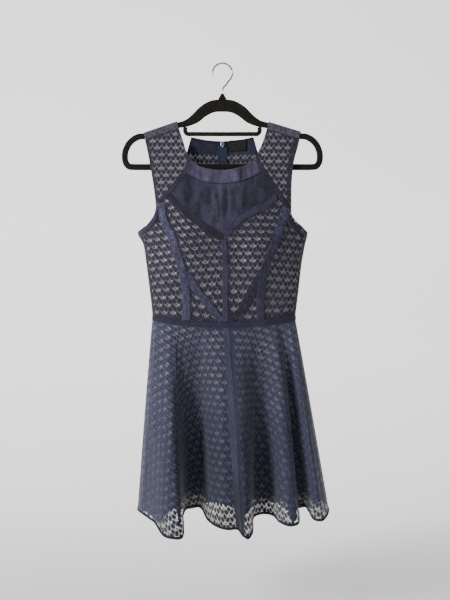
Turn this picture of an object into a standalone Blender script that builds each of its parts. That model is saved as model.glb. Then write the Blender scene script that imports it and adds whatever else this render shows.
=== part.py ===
"""A sleeveless a-line lace dress hanging on a slim velvet hanger.

+Z is up, the front faces -Y and +X is on the viewer's right. The origin is where
the rail touches the inside of the hanger's hook. Heights are given as a drop in
millimetres below that point, because everything hangs from it.
"""

import math

import bmesh
import bpy
from mathutils import Vector

MM = 0.001
FRONT, BACK = -1, 1

# Cloth
SEAM_GAP = 0.3          # mm between neighbouring pieces
SHARP_GAP = 0.8         # and where the cloth turns sharply at the seam
LACE_THICK = 1.2
BAND_THICK = 1.0
BAND_GAP = 0.9          # a band's clearance over the panel it lies on
LINING_INSET = 4.0      # how far the lining hangs inside the lace
LINING_THICK = 1.0
LINING_GAP = 2.0        # how far the bodice's lining stops inside its edges
LINING_FROM_TAPE = 3.0  # and beside the zip's tape
BINDING_DEEP = 4.0      # height of the hem binding
NARROW = 0.15           # width of the column beside a sharp seam, as a share of the others

# Main heights, as drops
UNDERARM = 372.0
WAIST_TOP = 555.0       # upper edge of the waistband at the side seams
WAIST_LOW = 567.0
SIDE_SEAM_DROPS = (UNDERARM, 379.0, 387.0, 398.0, 420.0, 443.0, 470.0, 500.0, 530.0, WAIST_TOP)
FRONT_WAIST_DIP = 14.0  # how far the waist seam hangs lower at the centre
BACK_WAIST_DIP = 5.0
DIP_STARTS = 470.0
SHOULDER_DEEP = 17.0    # depth of the strip over the hanger arm
SHOULDER_BEND = 4.7     # outer radius of that strip over the arm
SHOULDER_LEAN = 0.24    # how far its ends lean inwards for each mm down

# Bodice sections, from the hanger down to the waist seam
# drop, left edge, right edge, front depth, back depth, back bow, held off by the hanger
SECTIONS = (
    (110.0, -187.0, 187.0, 0.0, 0.0, 14.0, 4.7),
    (150.0, -187.0, 187.0, 1.0, 1.0, 14.0, 4.7),
    (170.0, -187.0, 187.0, 4.0, 3.0, 13.5, 4.7),
    (200.0, -187.0, 187.0, 11.0, 7.0, 12.0, 4.7),
    (240.0, -187.0, 187.0, 24.0, 13.0, 9.0, 4.4),
    (310.0, -187.0, 187.0, 38.0, 22.0, 4.0, 2.0),
    (372.0, -186.5, 187.5, 44.0, 30.0, 0.0, 0.0),
    (398.0, -174.0, 182.0, 45.0, 31.0, 0.0, 0.0),
    (443.0, -167.0, 174.0, 44.0, 30.0, 0.0, 0.0),
    (495.0, -160.5, 168.0, 39.0, 28.0, 0.0, 0.0),
    (536.0, -155.5, 163.0, 35.0, 26.0, 0.0, 0.0),
    (556.0, -154.0, 161.0, 33.0, 25.0, 0.0, 0.0),
    (580.0, -154.5, 161.0, 33.0, 25.0, 0.0, 0.0),
)
BOW_WIDE = 55.0         # half-width of the bow in the back, between the straps

# Fullness that the princess seams give the front: x, drop, forward, half-width, half-height
FULLNESS = (
    (-76.0, 418.0, 11.0, 48.0, 52.0),
    (88.0, 418.0, 12.0, 48.0, 52.0),
)

UNDERARM_NOTCH = 0.998  # the panels part a little at the top of the side seam
V_COUNT = 5             # steps along each side of the V, which set the grids beside it

# Seams of the bodice, each as x and drop. l is the side at -X, r the side at +X.
SEAMS = {
    "l": {
        "shoulder": ((-174.0, 151.0), (-100.0, 125.8)),
        "strap_outer": ((-163.5, 195.0), (-155.0, 239.0), (-147.0, 287.0)),
        "strap_inner": ((-87.0, 169.0), (-78.5, 196.0)),
        "neck_corner": (-68.0, 214.5),
        "raglan_top": (-78.0, 245.5),
        "raglan_bow": (-98.0, 271.0),
        "raglan_v": (-113.0, 289.0),
        "raglan_princess": (-134.0, 309.5),
        "raglan_end": (-143.5, 318.0),
        "armhole": ((-148.0, 336.0), (-163.5, 357.0)),
        "back_armhole": ((-151.5, 336.0), (-167.5, 357.5)),
        "v_bow": ((-58.0, 338.0),),
        "v_band_low": ((-117.5, 304.0), (-63.5, 354.5), (-23.0, 385.0)),
        "princess": ((-128.0, 344.0), (-111.0, 381.0), (-98.0, 421.0)),
        "princess_split": (-86.0, 456.0),
        "princess_low": ((-79.0, 499.0),),
        "princess_end": (-77.5, WAIST_TOP),
        "underbust": ((-62.0, 489.0), (-36.0, 518.0)),
        "back_inner": ((-95.0, 172.0),),
        "notch": (-87.0, 201.0),
        "back_neck_side": (-80.0, 195.0),
        "back_neck_top": (-69.5, 159.0),
        "back_raglan_bow": ((-101.0, 262.0),),
    },
    "r": {
        "shoulder": ((173.5, 148.6), (102.0, 126.8)),
        "strap_outer": ((165.0, 184.0), (155.5, 219.0), (150.5, 267.0)),
        "strap_inner": ((87.6, 176.0), (77.5, 198.0)),
        "neck_corner": (71.5, 213.0),
        "raglan_top": (85.0, 243.5),
        "raglan_bow": (104.0, 270.0),
        "raglan_v": (116.0, 287.0),
        "raglan_princess": (138.5, 320.0),
        "raglan_end": (149.0, 331.0),
        "armhole": ((152.5, 340.0), (167.0, 356.0)),
        "inner_arm": ((148.0, 351.0), (158.0, 364.0), (168.0, 375.0), (177.5, 384.5)),
        "back_armhole": ((155.0, 341.0), (169.0, 356.5)),
        "v_bow": ((88.0, 310.0), (42.0, 335.0)),
        "v_band_low": ((121.5, 304.0), (94.5, 325.0), (47.5, 349.0), (20.5, 375.0)),
        "princess": ((131.0, 346.0), (120.0, 379.0), (108.0, 412.0)),
        "princess_split": (90.0, 460.0),
        "princess_low": ((84.0, 500.0),),
        "princess_end": (82.5, WAIST_TOP),
        "underbust": ((64.0, 503.0), (40.0, 532.0)),
        "back_inner": ((97.0, 172.0),),
        "notch": (88.0, 201.0),
        "back_neck_side": (79.5, 195.0),
        "back_neck_top": (69.0, 159.0),
        "back_raglan_bow": ((102.0, 262.0),),
    },
}
NECKLINE = ((-54.0, 227.0), (-34.0, 235.0), (0.0, 238.7), (34.0, 233.5), (54.5, 225.0))
NECKBAND_LOW = ((-40.5, 263.5), (0.0, 269.0), (41.0, 263.5), (68.0, 252.0))
V_POINT = (3.0, 379.0)
CENTRE_FRONT = ((6.0, 430.0), (7.0, 500.0))
CENTRE_WAIST = (7.0, WAIST_TOP)
BACK_NECK = 165.5       # drop of the back neck at the zip
BACK_NECKBAND_LOW = 195.5
ZIP_HALF_GAP = 1.2      # the back edges stop this far from the centre, for the slider

# Hem of the skirt as it hangs in folds, from the left side seam to the right one
# x, y, drop
FRONT_HEM = (
    (-186.5, 0.0, 985.0),
    (-160.0, -40.0, 991.0),
    (-143.0, -62.0, 995.0),
    (-123.0, -87.0, 1014.0),
    (-105.0, -100.0, 1016.0),
    (-85.5, -95.0, 1017.0),
    (-83.5, -52.0, 1003.0),
    (-86.0, -14.0, 993.0),
    (-78.0, 17.0, 987.0),
    (-52.0, 22.0, 985.0),
    (-31.0, -34.0, 998.0),
    (-12.0, -62.0, 1003.0),
    (12.0, -76.0, 1005.0),
    (32.0, -78.0, 1004.0),
    (43.5, -93.0, 1013.0),
    (53.5, -98.0, 1017.0),
    (62.0, -84.0, 1011.0),
    (64.0, -50.0, 1000.0),
    (71.0, -18.0, 994.0),
    (92.0, -6.0, 992.0),
    (111.0, -18.0, 993.0),
    (122.0, -46.0, 998.0),
    (142.0, -67.0, 1000.0),
    (161.0, -58.0, 999.0),
    (166.5, -12.0, 990.0),
    (168.0, 18.0, 983.0),
    (183.0, 20.0, 983.0),
    (191.0, -12.0, 987.0),
    (199.0, -42.0, 995.0),
    (213.0, -48.0, 995.0),
    (226.0, -30.0, 991.0),
    (234.0, 0.0, 982.0),
)
BACK_HEM = (
    (-186.5, 0.0, 985.0),
    (-179.0, 42.0, 992.0),
    (-160.0, 84.0, 1003.0),
    (-136.0, 108.0, 1002.0),
    (-112.0, 100.0, 1001.0),
    (-100.0, 66.0, 1001.0),
    (-80.0, 54.0, 998.0),
    (-60.0, 76.0, 1001.0),
    (-42.0, 112.0, 1001.0),
    (-15.0, 122.0, 1001.0),
    (8.0, 104.0, 1000.0),
    (24.0, 68.0, 1001.0),
    (46.0, 54.0, 998.0),
    (66.0, 76.0, 1002.0),
    (84.0, 110.0, 1001.0),
    (110.0, 120.0, 1001.0),
    (132.0, 98.0, 1000.0),
    (144.0, 64.0, 1000.0),
    (164.0, 52.0, 997.0),
    (184.0, 68.0, 999.0),
    (206.0, 84.0, 1000.0),
    (225.0, 58.0, 992.0),
    (234.0, 0.0, 982.0),
)

# How the skirt hangs: a share of the way across the hem, the share of the waist above it,
# and the power of the way down by which it widens there, above 1 where it hangs a little first
FRONT_HANG = (
    (0.0, 0.0, 0.92),
    (0.218, 0.195, 1.05),
    (0.33, 0.355, 1.05),
    (0.478, 0.495, 1.0),
    (0.504, 0.536, 0.95),
    (0.54, 0.622, 0.9),
    (0.64, 0.737, 0.82),
    (0.74, 0.83, 0.78),
    (0.85, 0.885, 0.85),
    (1.0, 1.0, 0.98),
)
BACK_HANG = ((0.0, 0.0, 0.92), (0.2, 0.2, 1.08), (0.8, 0.8, 1.08), (1.0, 1.0, 0.98))
FOLD_POWER = 0.9        # the folds start at once
SKIRT_ROWS = (0.0, 0.05, 0.16, 0.34, 0.56, 0.78, 1.0)
LINING_ROWS = (0.0, 0.12, 0.45)
LINING_ENDS = {FRONT: 0.92, BACK: 0.955}   # share of the way down where the lining ends
LINING_OPEN = (0.014, 0.005)   # the lining stops this share short of the side seams, waist and hem
WEDGE = (0.478, 0.504)  # the plain centre wedge, as shares of the front's hem
BACK_SPLIT = 0.5        # the zip's share of the back
SIDE_NARROW = 0.003     # share of the narrow column beside each seam of the skirt

# Hanger
HANGER_THICK = 5.5
ARM_HIGH = 12.5
# x, drop of the middle, height, from the centre out
ARCH = (
    (0.0, 91.5, 26.5),
    (22.0, 93.5, 26.0),
    (42.0, 104.0, 24.0),
    (61.0, 120.5, 20.5),
    (80.0, 130.6, 13.5),
    (100.0, 135.5, 11.0),
    (140.0, 148.5, 10.5),
    (172.0, 158.8, 11.6),
    (184.0, 160.0, 12.5),
    (197.0, 166.5, 12.5),
)
# x, drop of the middle of each end's turn
END = ((207.5, 177.5), (214.9, 196.0), (214.0, 215.5), (207.0, 225.5), (196.0, 227.3))
BAR_DROP = 227.3
TIE_BAR = ((82.0, 139.6), (82.0, 149.0), (77.5, 153.9), (68.0, 154.2))
TIE_HIGH = 8.2
WIRE = 2.0              # radius of the hook's wire
HOOK_RADIUS = 20.0      # inside the hook
COLLAR_TOP = 65.0
COLLAR_LOW = 77.7
COLLAR_RADII = (9.0, 2.8)      # at its foot, before it is flattened, and at the hook
COLLAR_FLAT = 0.32
BAR_BEYOND = 46.0       # how far in from the end's turn the lower bar's run is drawn

# Zip
CHAIN_WIDE = 5.0
CHAIN_THICK = 1.5
TAPE_IN, TAPE_OUT = 2.8, 13.0
TAPE_THICK = 0.8
TAPE_INSET = 2.0        # under the back's outer face
ZIP_LOW = 0.33          # share of the skirt that the zip runs down
SLIDER_TOP = 167.5
SLIDER_LOW = 177.5
SLIDER_WIDE = 8.5
SLIDER_DEEP = 4.4
SLIDER_FREE = 0.5       # between the slider and the inside of the back's cloth
LOOP_WIDE = 1.6
PULL_LONG, PULL_WIDE, PULL_THICK = 21.0, 5.2, 1.2
PULL_BAR = 1.2          # the bar of the pull that turns in the slider's loop
PULL_WINDOW = (2.8, 4.6)
PULL_STANDS_OFF = 4.6   # from the back's outer face to the bar

# Label
LABEL_X = (15.5, 53.5)
LABEL_DROP = (164.5, 188.0)
LABEL_THICK = 0.8
LABEL_BEHIND = 0.5      # between the label and the inside of the neckband

COLOURS = {
    # name: colour, roughness, metallic
    "lace": ((0.040, 0.042, 0.085), 0.85, 0.0),
    "navy": ((0.048, 0.054, 0.115), 0.70, 0.0),
    "binding": ((0.020, 0.022, 0.040), 0.75, 0.0),
    "lining": ((0.55, 0.48, 0.42), 0.70, 0.0),
    "velvet": ((0.016, 0.014, 0.012), 0.95, 0.0),
    "steel": ((0.62, 0.62, 0.63), 0.25, 1.0),
    "tape": ((0.040, 0.075, 0.115), 0.80, 0.0),
    "enamel": ((0.16, 0.23, 0.31), 0.35, 0.6),
    "label": ((0.018, 0.018, 0.019), 0.60, 0.0),
}


def start():
    """Empties the scene and returns the collections for the parts and the cutters."""
    for old in list(bpy.data.objects):
        bpy.data.objects.remove(old)
    found = []
    for name in ("lace_dress_on_hanger", "cutters"):
        collection = bpy.data.collections.new(name)
        bpy.context.scene.collection.children.link(collection)
        found.append(collection)
    return found


def finishes():
    """One material for each cloth and metal."""
    made = {}
    for name, (colour, roughness, metallic) in COLOURS.items():
        material = bpy.data.materials.new(name)
        material.use_nodes = True
        shader = material.node_tree.nodes["Principled BSDF"]
        shader.inputs["Base Color"].default_value = (*colour, 1.0)
        shader.inputs["Roughness"].default_value = roughness
        shader.inputs["Metallic"].default_value = metallic
        made[name] = material
    return made


PARTS, CUTTERS = start()
FINISH = finishes()


# ---------------------------------------------------------------- curves

def mix(a, b, share):
    return a + (b - a) * share


def slopes(keys, values):
    """Slopes for a cubic through the values that never overshoots them."""
    steps = [(b - a) / (q - p) for a, b, p, q in zip(values, values[1:], keys, keys[1:])]
    inner = [0.0 if a * b <= 0 else 2 * a * b / (a + b) for a, b in zip(steps, steps[1:])]
    return [steps[0], *inner, steps[-1]]


class Table:
    """Columns that run smoothly from row to row of a table whose first column is its key."""

    def __init__(self, rows):
        self.keys = [row[0] for row in rows]
        self.columns = [list(column) for column in zip(*rows)][1:]
        self.slopes = [slopes(self.keys, column) for column in self.columns]

    def at(self, key):
        last = len(self.keys) - 2
        row = 0
        while row < last and key > self.keys[row + 1]:
            row += 1
        width = self.keys[row + 1] - self.keys[row]
        t = min(max((key - self.keys[row]) / width, 0.0), 1.0)
        found = []
        for values, tilt in zip(self.columns, self.slopes):
            a, b = values[row], values[row + 1]
            rise = (1 - t) * tilt[row] - t * tilt[row + 1]
            found.append(mix(a, b, t) + t * (1 - t) * (width * rise - (b - a) * (1 - 2 * t)))
        return found


class Spline:
    """A smooth curve through points, read by point number or by share of its length.

    before and after are points that it would pass next, beyond its ends.
    """

    FINE = 12

    def __init__(self, points, before=None, after=None):
        self.points = [Vector(p) for p in points]
        self.before = Vector(before) if before else self.points[0] * 2 - self.points[1]
        self.after = Vector(after) if after else self.points[-1] * 2 - self.points[-2]
        count = (len(points) - 1) * self.FINE
        self.reached = [0.0]
        passed = self.at(0.0)
        for i in range(1, count + 1):
            now = self.at(i / self.FINE)
            self.reached.append(self.reached[-1] + (now - passed).length)
            passed = now
        self.length = self.reached[-1]

    def at(self, number):
        """Centripetal Catmull-Rom."""
        last = len(self.points) - 2
        i = min(max(int(number), 0), last)
        b, c = self.points[i], self.points[i + 1]
        a = self.points[i - 1] if i else self.before
        d = self.points[i + 2] if i < last else self.after
        ka = 0.0
        kb = ka + math.sqrt((b - a).length)
        kc = kb + math.sqrt((c - b).length)
        kd = kc + math.sqrt((d - c).length)
        k = mix(kb, kc, number - i)
        ab = a.lerp(b, (k - ka) / (kb - ka))
        bc = b.lerp(c, (k - kb) / (kc - kb))
        cd = c.lerp(d, (k - kc) / (kd - kc))
        return ab.lerp(bc, (k - ka) / (kc - ka)).lerp(bc.lerp(cd, (k - kb) / (kd - kb)), (k - kb) / (kc - kb))

    def share(self, number):
        """The share of the length that is reached at a point number."""
        place = min(max(number, 0.0) * self.FINE, len(self.reached) - 1)
        i = min(int(place), len(self.reached) - 2)
        return mix(self.reached[i], self.reached[i + 1], place - i) / self.length

    def number(self, share):
        """The point number at a share of the length."""
        wanted = share * self.length
        i = 0
        while i < len(self.reached) - 2 and self.reached[i + 1] < wanted:
            i += 1
        step = self.reached[i + 1] - self.reached[i]
        return (i + (wanted - self.reached[i]) / step) / self.FINE


def run(points, count):
    """count + 1 points, evenly spaced along the smooth curve through the points given."""
    spline = Spline([(p[0], p[1], 0.0) for p in points])
    found = [spline.at(spline.number(i / count)) for i in range(count + 1)]
    return [(p.x, p.y) for p in found]


# ---------------------------------------------------------------- the garment's surfaces

SECTION = Table(SECTIONS)


def bodice(side, angle, drop):
    """A point of the bodice's outer face. The angle runs from -90 to 90 degrees across it."""
    left, right, front, back, bow, hang = SECTION.at(drop)
    x = mix(left, right, (1 + math.sin(angle)) / 2)
    across = math.cos(angle)
    falls = min(max((drop - DIP_STARTS) / (WAIST_TOP - DIP_STARTS), 0.0), 1.0)
    falls = falls * falls * (3 - 2 * falls)
    if side == FRONT:
        y = hang + front * across
        for middle, level, forward, wide, high in FULLNESS:
            near = ((x - middle) / wide) ** 2 + ((drop - level) / high) ** 2
            y += forward * across * math.exp(-near)
        drop += FRONT_WAIST_DIP * falls * across * across
    else:
        y = hang + back * across + bow * math.exp(-((x / BOW_WIDE) ** 2))
        drop += BACK_WAIST_DIP * falls * across * across
    return Vector((x, side * y, -drop))


def angle_at(x, drop):
    left, right = SECTION.at(drop)[:2]
    share = (2 * x - left - right) / (right - left)
    return math.asin(min(max(share, -1.0), 1.0))


def waist_angles(side, count=96):
    """Angles along the waist seam, at even shares of its length."""
    fine = 960
    angles = [math.pi * (i / fine - 0.5) for i in range(fine + 1)]
    places = [bodice(side, angle, WAIST_LOW) for angle in angles]
    reached = [0.0]
    for a, b in zip(places, places[1:]):
        reached.append(reached[-1] + (b - a).length)
    found, i = [], 0
    for k in range(count + 1):
        wanted = reached[-1] * k / count
        while i < fine - 1 and reached[i + 1] < wanted:
            i += 1
        found.append(mix(angles[i], angles[i + 1], (wanted - reached[i]) / (reached[i + 1] - reached[i])))
    return found


def hem_line(own, other):
    """One side's hem, which runs on smoothly into the other side's at the side seams."""
    own, other = ([(x, y, -drop) for x, y, drop in rows] for rows in (own, other))
    return Spline(own, before=other[1], after=other[-2])


HEM = {FRONT: hem_line(FRONT_HEM, BACK_HEM), BACK: hem_line(BACK_HEM, FRONT_HEM)}
HANG = {FRONT: Table(FRONT_HANG), BACK: Table(BACK_HANG)}
WAIST = {FRONT: waist_angles(FRONT), BACK: waist_angles(BACK)}


def skirt(side, share, down):
    """A point of the skirt's outer face, at a share of the way across and down."""
    share = min(max(share, 0.0), 1.0)
    at_waist, flare = HANG[side].at(share)
    place = at_waist * (len(WAIST[side]) - 1)
    i = min(int(place), len(WAIST[side]) - 2)
    start_at = bodice(side, mix(WAIST[side][i], WAIST[side][i + 1], place - i), WAIST_LOW)
    end_at = HEM[side].at(HEM[side].number(share))
    return Vector((
        mix(start_at.x, end_at.x, down ** flare),
        mix(start_at.y, end_at.y, down ** FOLD_POWER),
        mix(start_at.z, end_at.z, down),
    ))


def lifted(surface, side, across, down, lift, step):
    """A point of a surface, moved out by lift along its normal."""
    point = surface(side, across, down)
    if not lift:
        return point
    right = surface(side, across + step[0], down) - surface(side, across - step[0], down)
    lower = surface(side, across, down + step[1]) - surface(side, across, max(down - step[1], 0.0))
    return point + lower.cross(right).normalized() * (-side * lift)


# Steps across and down over which a surface's slope is read
BODICE_STEP = (0.01, 1.0)
SKIRT_STEP = (0.003, 0.01)


def on_bodice(side, x, drop, lift=0.0):
    return lifted(bodice, side, angle_at(x, drop), drop, lift, BODICE_STEP)


def on_skirt(side, share, down, lift=0.0):
    return lifted(skirt, side, share, down, lift, SKIRT_STEP)


# ---------------------------------------------------------------- pieces from grids of points

def keep(name, mesh, finish):
    """Links a new object that holds the mesh."""
    mesh.materials.append(FINISH[finish])
    piece = bpy.data.objects.new(name, mesh)
    PARTS.objects.link(piece)
    return piece


def drawn_in(grid, gap):
    """The grid with its edges drawn in by the gap, so that pieces part at their seams."""
    rows, columns = len(grid), len(grid[0])
    moved = [[point.copy() for point in row] for row in grid]

    def draw(r, c, inner, before, after):
        along = (after - before).normalized()
        inward = inner - grid[r][c]
        inward -= along * inward.dot(along)
        if inward.length > 1e-6:
            moved[r][c] += inward.normalized() * gap

    for r in range(rows):
        above, below = max(r - 1, 0), min(r + 1, rows - 1)
        draw(r, 0, grid[r][1], grid[above][0], grid[below][0])
        draw(r, columns - 1, grid[r][-2], grid[above][-1], grid[below][-1])
    for c in range(columns):
        left, right = max(c - 1, 0), min(c + 1, columns - 1)
        draw(0, c, grid[1][c], grid[0][left], grid[0][right])
        draw(rows - 1, c, grid[-2][c], grid[-1][left], grid[-1][right])
    return moved


def cloth(name, grid, side, thick, finish, gap=SEAM_GAP / 2):
    """A wall of cloth: the grid is its outer face, and it is solid inwards."""
    grid = drawn_in(grid, gap)
    columns = len(grid[0])
    points = [point * MM for row in grid for point in row]
    faces = []
    for r in range(len(grid) - 1):
        for c in range(columns - 1):
            a, b = r * columns + c, r * columns + c + 1
            low_a, low_b = a + columns, b + columns
            if (points[a] - points[low_b]).length < (points[b] - points[low_a]).length:
                halves = (a, low_a, low_b), (a, low_b, b)
            else:
                halves = (a, low_a, b), (b, low_a, low_b)
            faces += halves if side == FRONT else [half[::-1] for half in halves]
    mesh = bpy.data.meshes.new(name)
    mesh.from_pydata(points, [], faces)
    mesh.shade_smooth()
    piece = keep(name, mesh, finish)
    wall = piece.modifiers.new("wall", "SOLIDIFY")
    wall.thickness = thick * MM
    wall.offset = -1.0
    return piece


def flat(points):
    """Points as angle and drop, where the garment lies flat."""
    return [Vector((angle_at(x, drop), drop)) for x, drop in points]


def part_way(edge, place):
    i = min(int(place), len(edge) - 2)
    return edge[i].lerp(edge[i + 1], place - i)


def patch(side, top, low, left, right, lift=0.0, first_row=0.0, seams=""):
    """A grid that fills the four edges, each a list of x and drop points.

    seams holds l or r for an edge where the cloth turns sharply: it gets a narrow column.
    """
    top, low, left, right = (flat(edge) for edge in (top, low, left, right))
    last = len(top) - 1
    columns = sorted([*range(last + 1), *(NARROW if which == "l" else last - NARROW for which in seams)])
    grid = []
    for r in [first_row, *range(1, len(left))]:
        v = r / (len(left) - 1)
        row = []
        for c in columns:
            u = c / last
            sideways = part_way(left, r).lerp(part_way(right, r), u)
            down = part_way(top, c).lerp(part_way(low, c), v)
            corners = top[0].lerp(top[-1], u).lerp(low[0].lerp(low[-1], u), v)
            place = sideways + down - corners
            row.append(lifted(bodice, side, place.x, place.y, lift, BODICE_STEP))
        grid.append(row)
    return grid


def ribbon(left, right, lift=0.0, columns=1, side=FRONT):
    """A grid between two edges that have as many points each."""
    grid = []
    for (xa, da), (xb, db) in zip(left, right):
        row = []
        for c in range(columns + 1):
            u = c / columns
            row.append(on_bodice(side, mix(xa, xb, u), mix(da, db, u), lift))
        grid.append(row)
    return grid


def beside(points, count, left, right):
    """Two edges at the given distances on either side of the curve through the points."""
    middle = run(points, count)
    edges = ([], [])
    for i, (x, drop) in enumerate(middle):
        xa, da = middle[max(i - 1, 0)]
        xb, db = middle[min(i + 1, count)]
        length = math.hypot(xb - xa, db - da)
        nx, nd = (db - da) / length, -(xb - xa) / length
        for edge, reach in zip(edges, (-left, right)):
            edge.append((x + nx * reach, drop + nd * reach))
    return edges


def beyond(edge, reach):
    """The edge's first point, moved out past it, or back along it where reach is negative."""
    (xa, da), (xb, db) = edge[:2]
    length = math.hypot(xb - xa, db - da)
    return xa - (xb - xa) / length * reach, da - (db - da) / length * reach


BAND_LIFT = BAND_GAP + BAND_THICK


# ---------------------------------------------------------------- bodice

def side_seam(which):
    """The side seam, from the underarm to the waist. It lies at the edge of each section."""
    column = 0 if which == "l" else 1
    edge = [(SECTION.at(drop)[column], drop) for drop in SIDE_SEAM_DROPS]
    edge[0] = (edge[0][0] * UNDERARM_NOTCH, UNDERARM)
    return edge


def across(a, b, count):
    return [(mix(a[0], b[0], i / count), mix(a[1], b[1], i / count)) for i in range(count + 1)]


def around(which, a, b, count):
    """Along one height at even angles, which keeps the points close at the side seam."""
    drop = a[1]
    one, other = angle_at(*a), angle_at(*b)
    left, right = SECTION.at(drop)[:2]
    found = []
    for i in range(count + 1):
        share = (1 + math.sin(mix(one, other, i / count))) / 2
        found.append((mix(left, right, share), drop))
    return found


def shoulder_line(which, deep, count):
    """Along the shoulder strip at a depth below its fold, from the armhole to the neck."""
    (outer_x, outer), (inner_x, inner) = SEAMS[which]["shoulder"]
    lean = SHOULDER_LEAN * deep * (1 if which == "l" else -1)
    return across((outer_x + lean, outer + deep), (inner_x + lean, inner + deep), count)


def strap_seams(which):
    """The strap's edges: armhole, neck, and the raglan seam in its four stretches."""
    s = SEAMS[which]
    top = shoulder_line(which, SHOULDER_DEEP, 8)
    outer = run([top[0], *s["strap_outer"], s["raglan_end"]], 6)
    inner = run([top[-1], *s["strap_inner"], s["neck_corner"]], 6)
    upper = run([s["neck_corner"], s["raglan_top"]], 2)
    middle = run([s["raglan_top"], s["raglan_bow"], s["raglan_v"]], 3)
    lower = run([s["raglan_v"], s["raglan_princess"]], 2)
    end = run([s["raglan_princess"], s["raglan_end"]], 1)
    return top, outer, inner, upper, middle, lower, end


def front_strap(which):
    top, outer, inner, upper, middle, lower, end = strap_seams(which)
    raglan = (upper + middle[1:] + lower[1:] + end[1:])[::-1]
    edges = [top, raglan, outer, inner]
    if which == "r":
        edges = [top[::-1], raglan[::-1], inner, outer]
    cloth(f"strap_front_{which}", patch(FRONT, *edges), FRONT, LACE_THICK, "lace")


def raglan_band(which):
    """The plain strip on the strap's side of the raglan seam."""
    s = SEAMS[which]
    seam = [s["neck_corner"], s["raglan_top"], s["raglan_bow"], s["raglan_v"], s["raglan_princess"]]
    outwards = (9.5, -1.0) if which == "l" else (-1.0, 9.5)
    left, right = beside(seam, 9, *outwards)
    grid = ribbon(left[1:], right[1:], BAND_LIFT)
    cloth(f"raglan_band_{which}", grid, FRONT, BAND_THICK, "navy")


def shoulder_band(which):
    """The strip that folds over the hanger arm and joins the front strap to the back."""
    rows = []
    for deep in (SHOULDER_DEEP, SHOULDER_DEEP * 0.55):
        rows.append([on_bodice(FRONT, *p) for p in shoulder_line(which, deep, 4)])
    for turn in (0, 40, 90, 140, 180):
        y = -SHOULDER_BEND * math.cos(math.radians(turn))
        deep = SHOULDER_BEND * (1 - math.sin(math.radians(turn)))
        rows.append([Vector((x, y, -drop)) for x, drop in shoulder_line(which, deep, 4)])
    for deep in (SHOULDER_DEEP * 0.55, SHOULDER_DEEP):
        rows.append([on_bodice(BACK, *p) for p in shoulder_line(which, deep, 4)])
    rows.reverse()
    if which == "r":
        rows = [row[::-1] for row in rows]
    cloth(f"shoulder_band_{which}", rows, FRONT, LACE_THICK, "navy")


def front_neck():
    """The neckband and the V yoke below it."""
    left, right = strap_seams("l"), strap_seams("r")
    low = run([left[3][-1], *NECKBAND_LOW, right[3][-1]], 2 * V_COUNT)
    top = run([left[3][0], *NECKLINE, right[3][0]], 2 * V_COUNT)
    cloth("neckband_front", patch(FRONT, top, low, left[3], right[3]), FRONT, LACE_THICK, "navy")
    v = v_seam("l") + v_seam("r")[::-1][1:]
    cloth("yoke_front", patch(FRONT, low, v, left[4], right[4]), FRONT, LACE_THICK, "navy")


def v_seam(which):
    s = SEAMS[which]
    return run([s["raglan_v"], *s["v_bow"], V_POINT], V_COUNT)


def v_band(which):
    """The plain band along the V seam."""
    s = SEAMS[which]
    seam = v_seam(which)
    centre = 1.0 if which == "l" else -1.0
    seam[-1] = (V_POINT[0] - centre, V_POINT[1] - 1.0)
    low = run([*s["v_band_low"], (V_POINT[0] - centre, 396.0)], V_COUNT)
    left, right = (low, seam) if which == "l" else (seam, low)
    left = [(x, drop + 0.4) for x, drop in left]
    cloth(f"v_band_{which}", ribbon(left, right, BAND_LIFT), FRONT, BAND_THICK, "navy")


def princess(which):
    s = SEAMS[which]
    upper = run([s["raglan_princess"], *s["princess"], s["princess_split"]], 6)
    lower = run([s["princess_split"], *s["princess_low"], s["princess_end"]], V_COUNT + 2)
    return upper, lower


def underbust(which):
    s = SEAMS[which]
    return run([s["princess_split"], *s["underbust"], CENTRE_WAIST], V_COUNT + 2)


def bust(which):
    """The lace panel between the V, the centre, the under-bust seam and the princess seam."""
    s = SEAMS[which]
    upper, _ = princess(which)
    top = run([s["raglan_v"], s["raglan_princess"]], 2)[::-1]
    v = v_seam(which)
    centre = run([V_POINT, *CENTRE_FRONT, CENTRE_WAIST], 6)
    edges = [top + v[1:], underbust(which), upper, centre]
    if which == "r":
        edges = [(top + v[1:])[::-1], underbust(which)[::-1], centre, upper]
    cloth(f"bust_lace_{which}", patch(FRONT, *edges), FRONT, LACE_THICK, "lace")


def underbust_lace(which):
    """The lace triangle between the under-bust seam, the princess seam and the waist."""
    s = SEAMS[which]
    _, lower = princess(which)
    seam = underbust(which)
    waist = across(s["princess_end"], CENTRE_WAIST, 4)
    apex = [s["princess_split"]] * 5
    edges = [apex, waist, lower, seam] if which == "l" else [apex, waist[::-1], seam, lower]
    grid = patch(FRONT, *edges, first_row=0.4)
    cloth(f"underbust_lace_{which}", grid, FRONT, LACE_THICK, "lace")


def side_lace(which):
    """The lace panel from the armhole and side seam to the princess seam."""
    s = SEAMS[which]
    upper, lower = princess(which)
    inner = upper + lower[1:]
    seam = side_seam(which)
    outer = run([s["raglan_end"], *s["armhole"], seam[0]], 4) + seam[1:]
    top = across(outer[0], inner[0], 6)
    low = around(which, outer[-1], inner[-1], 6)
    edges = [top, low, outer, inner] if which == "l" else [top[::-1], low[::-1], inner, outer]
    grid = patch(FRONT, *edges, seams=which)
    cloth(f"side_lace_{which}", grid, FRONT, LACE_THICK, "lace", gap=SHARP_GAP / 2)


def princess_band(which):
    """The plain band down the princess seam, from the raglan to the waist."""
    s = SEAMS[which]
    low_x, low_drop = s["princess_end"]
    points = [*s["princess"], s["princess_split"], *s["princess_low"], (low_x, low_drop - 1.0)]
    left, right = beside(points, 11, 8.0, 8.0)
    cloth(f"princess_band_{which}", ribbon(left, right, BAND_LIFT), FRONT, BAND_THICK, "navy")


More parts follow.
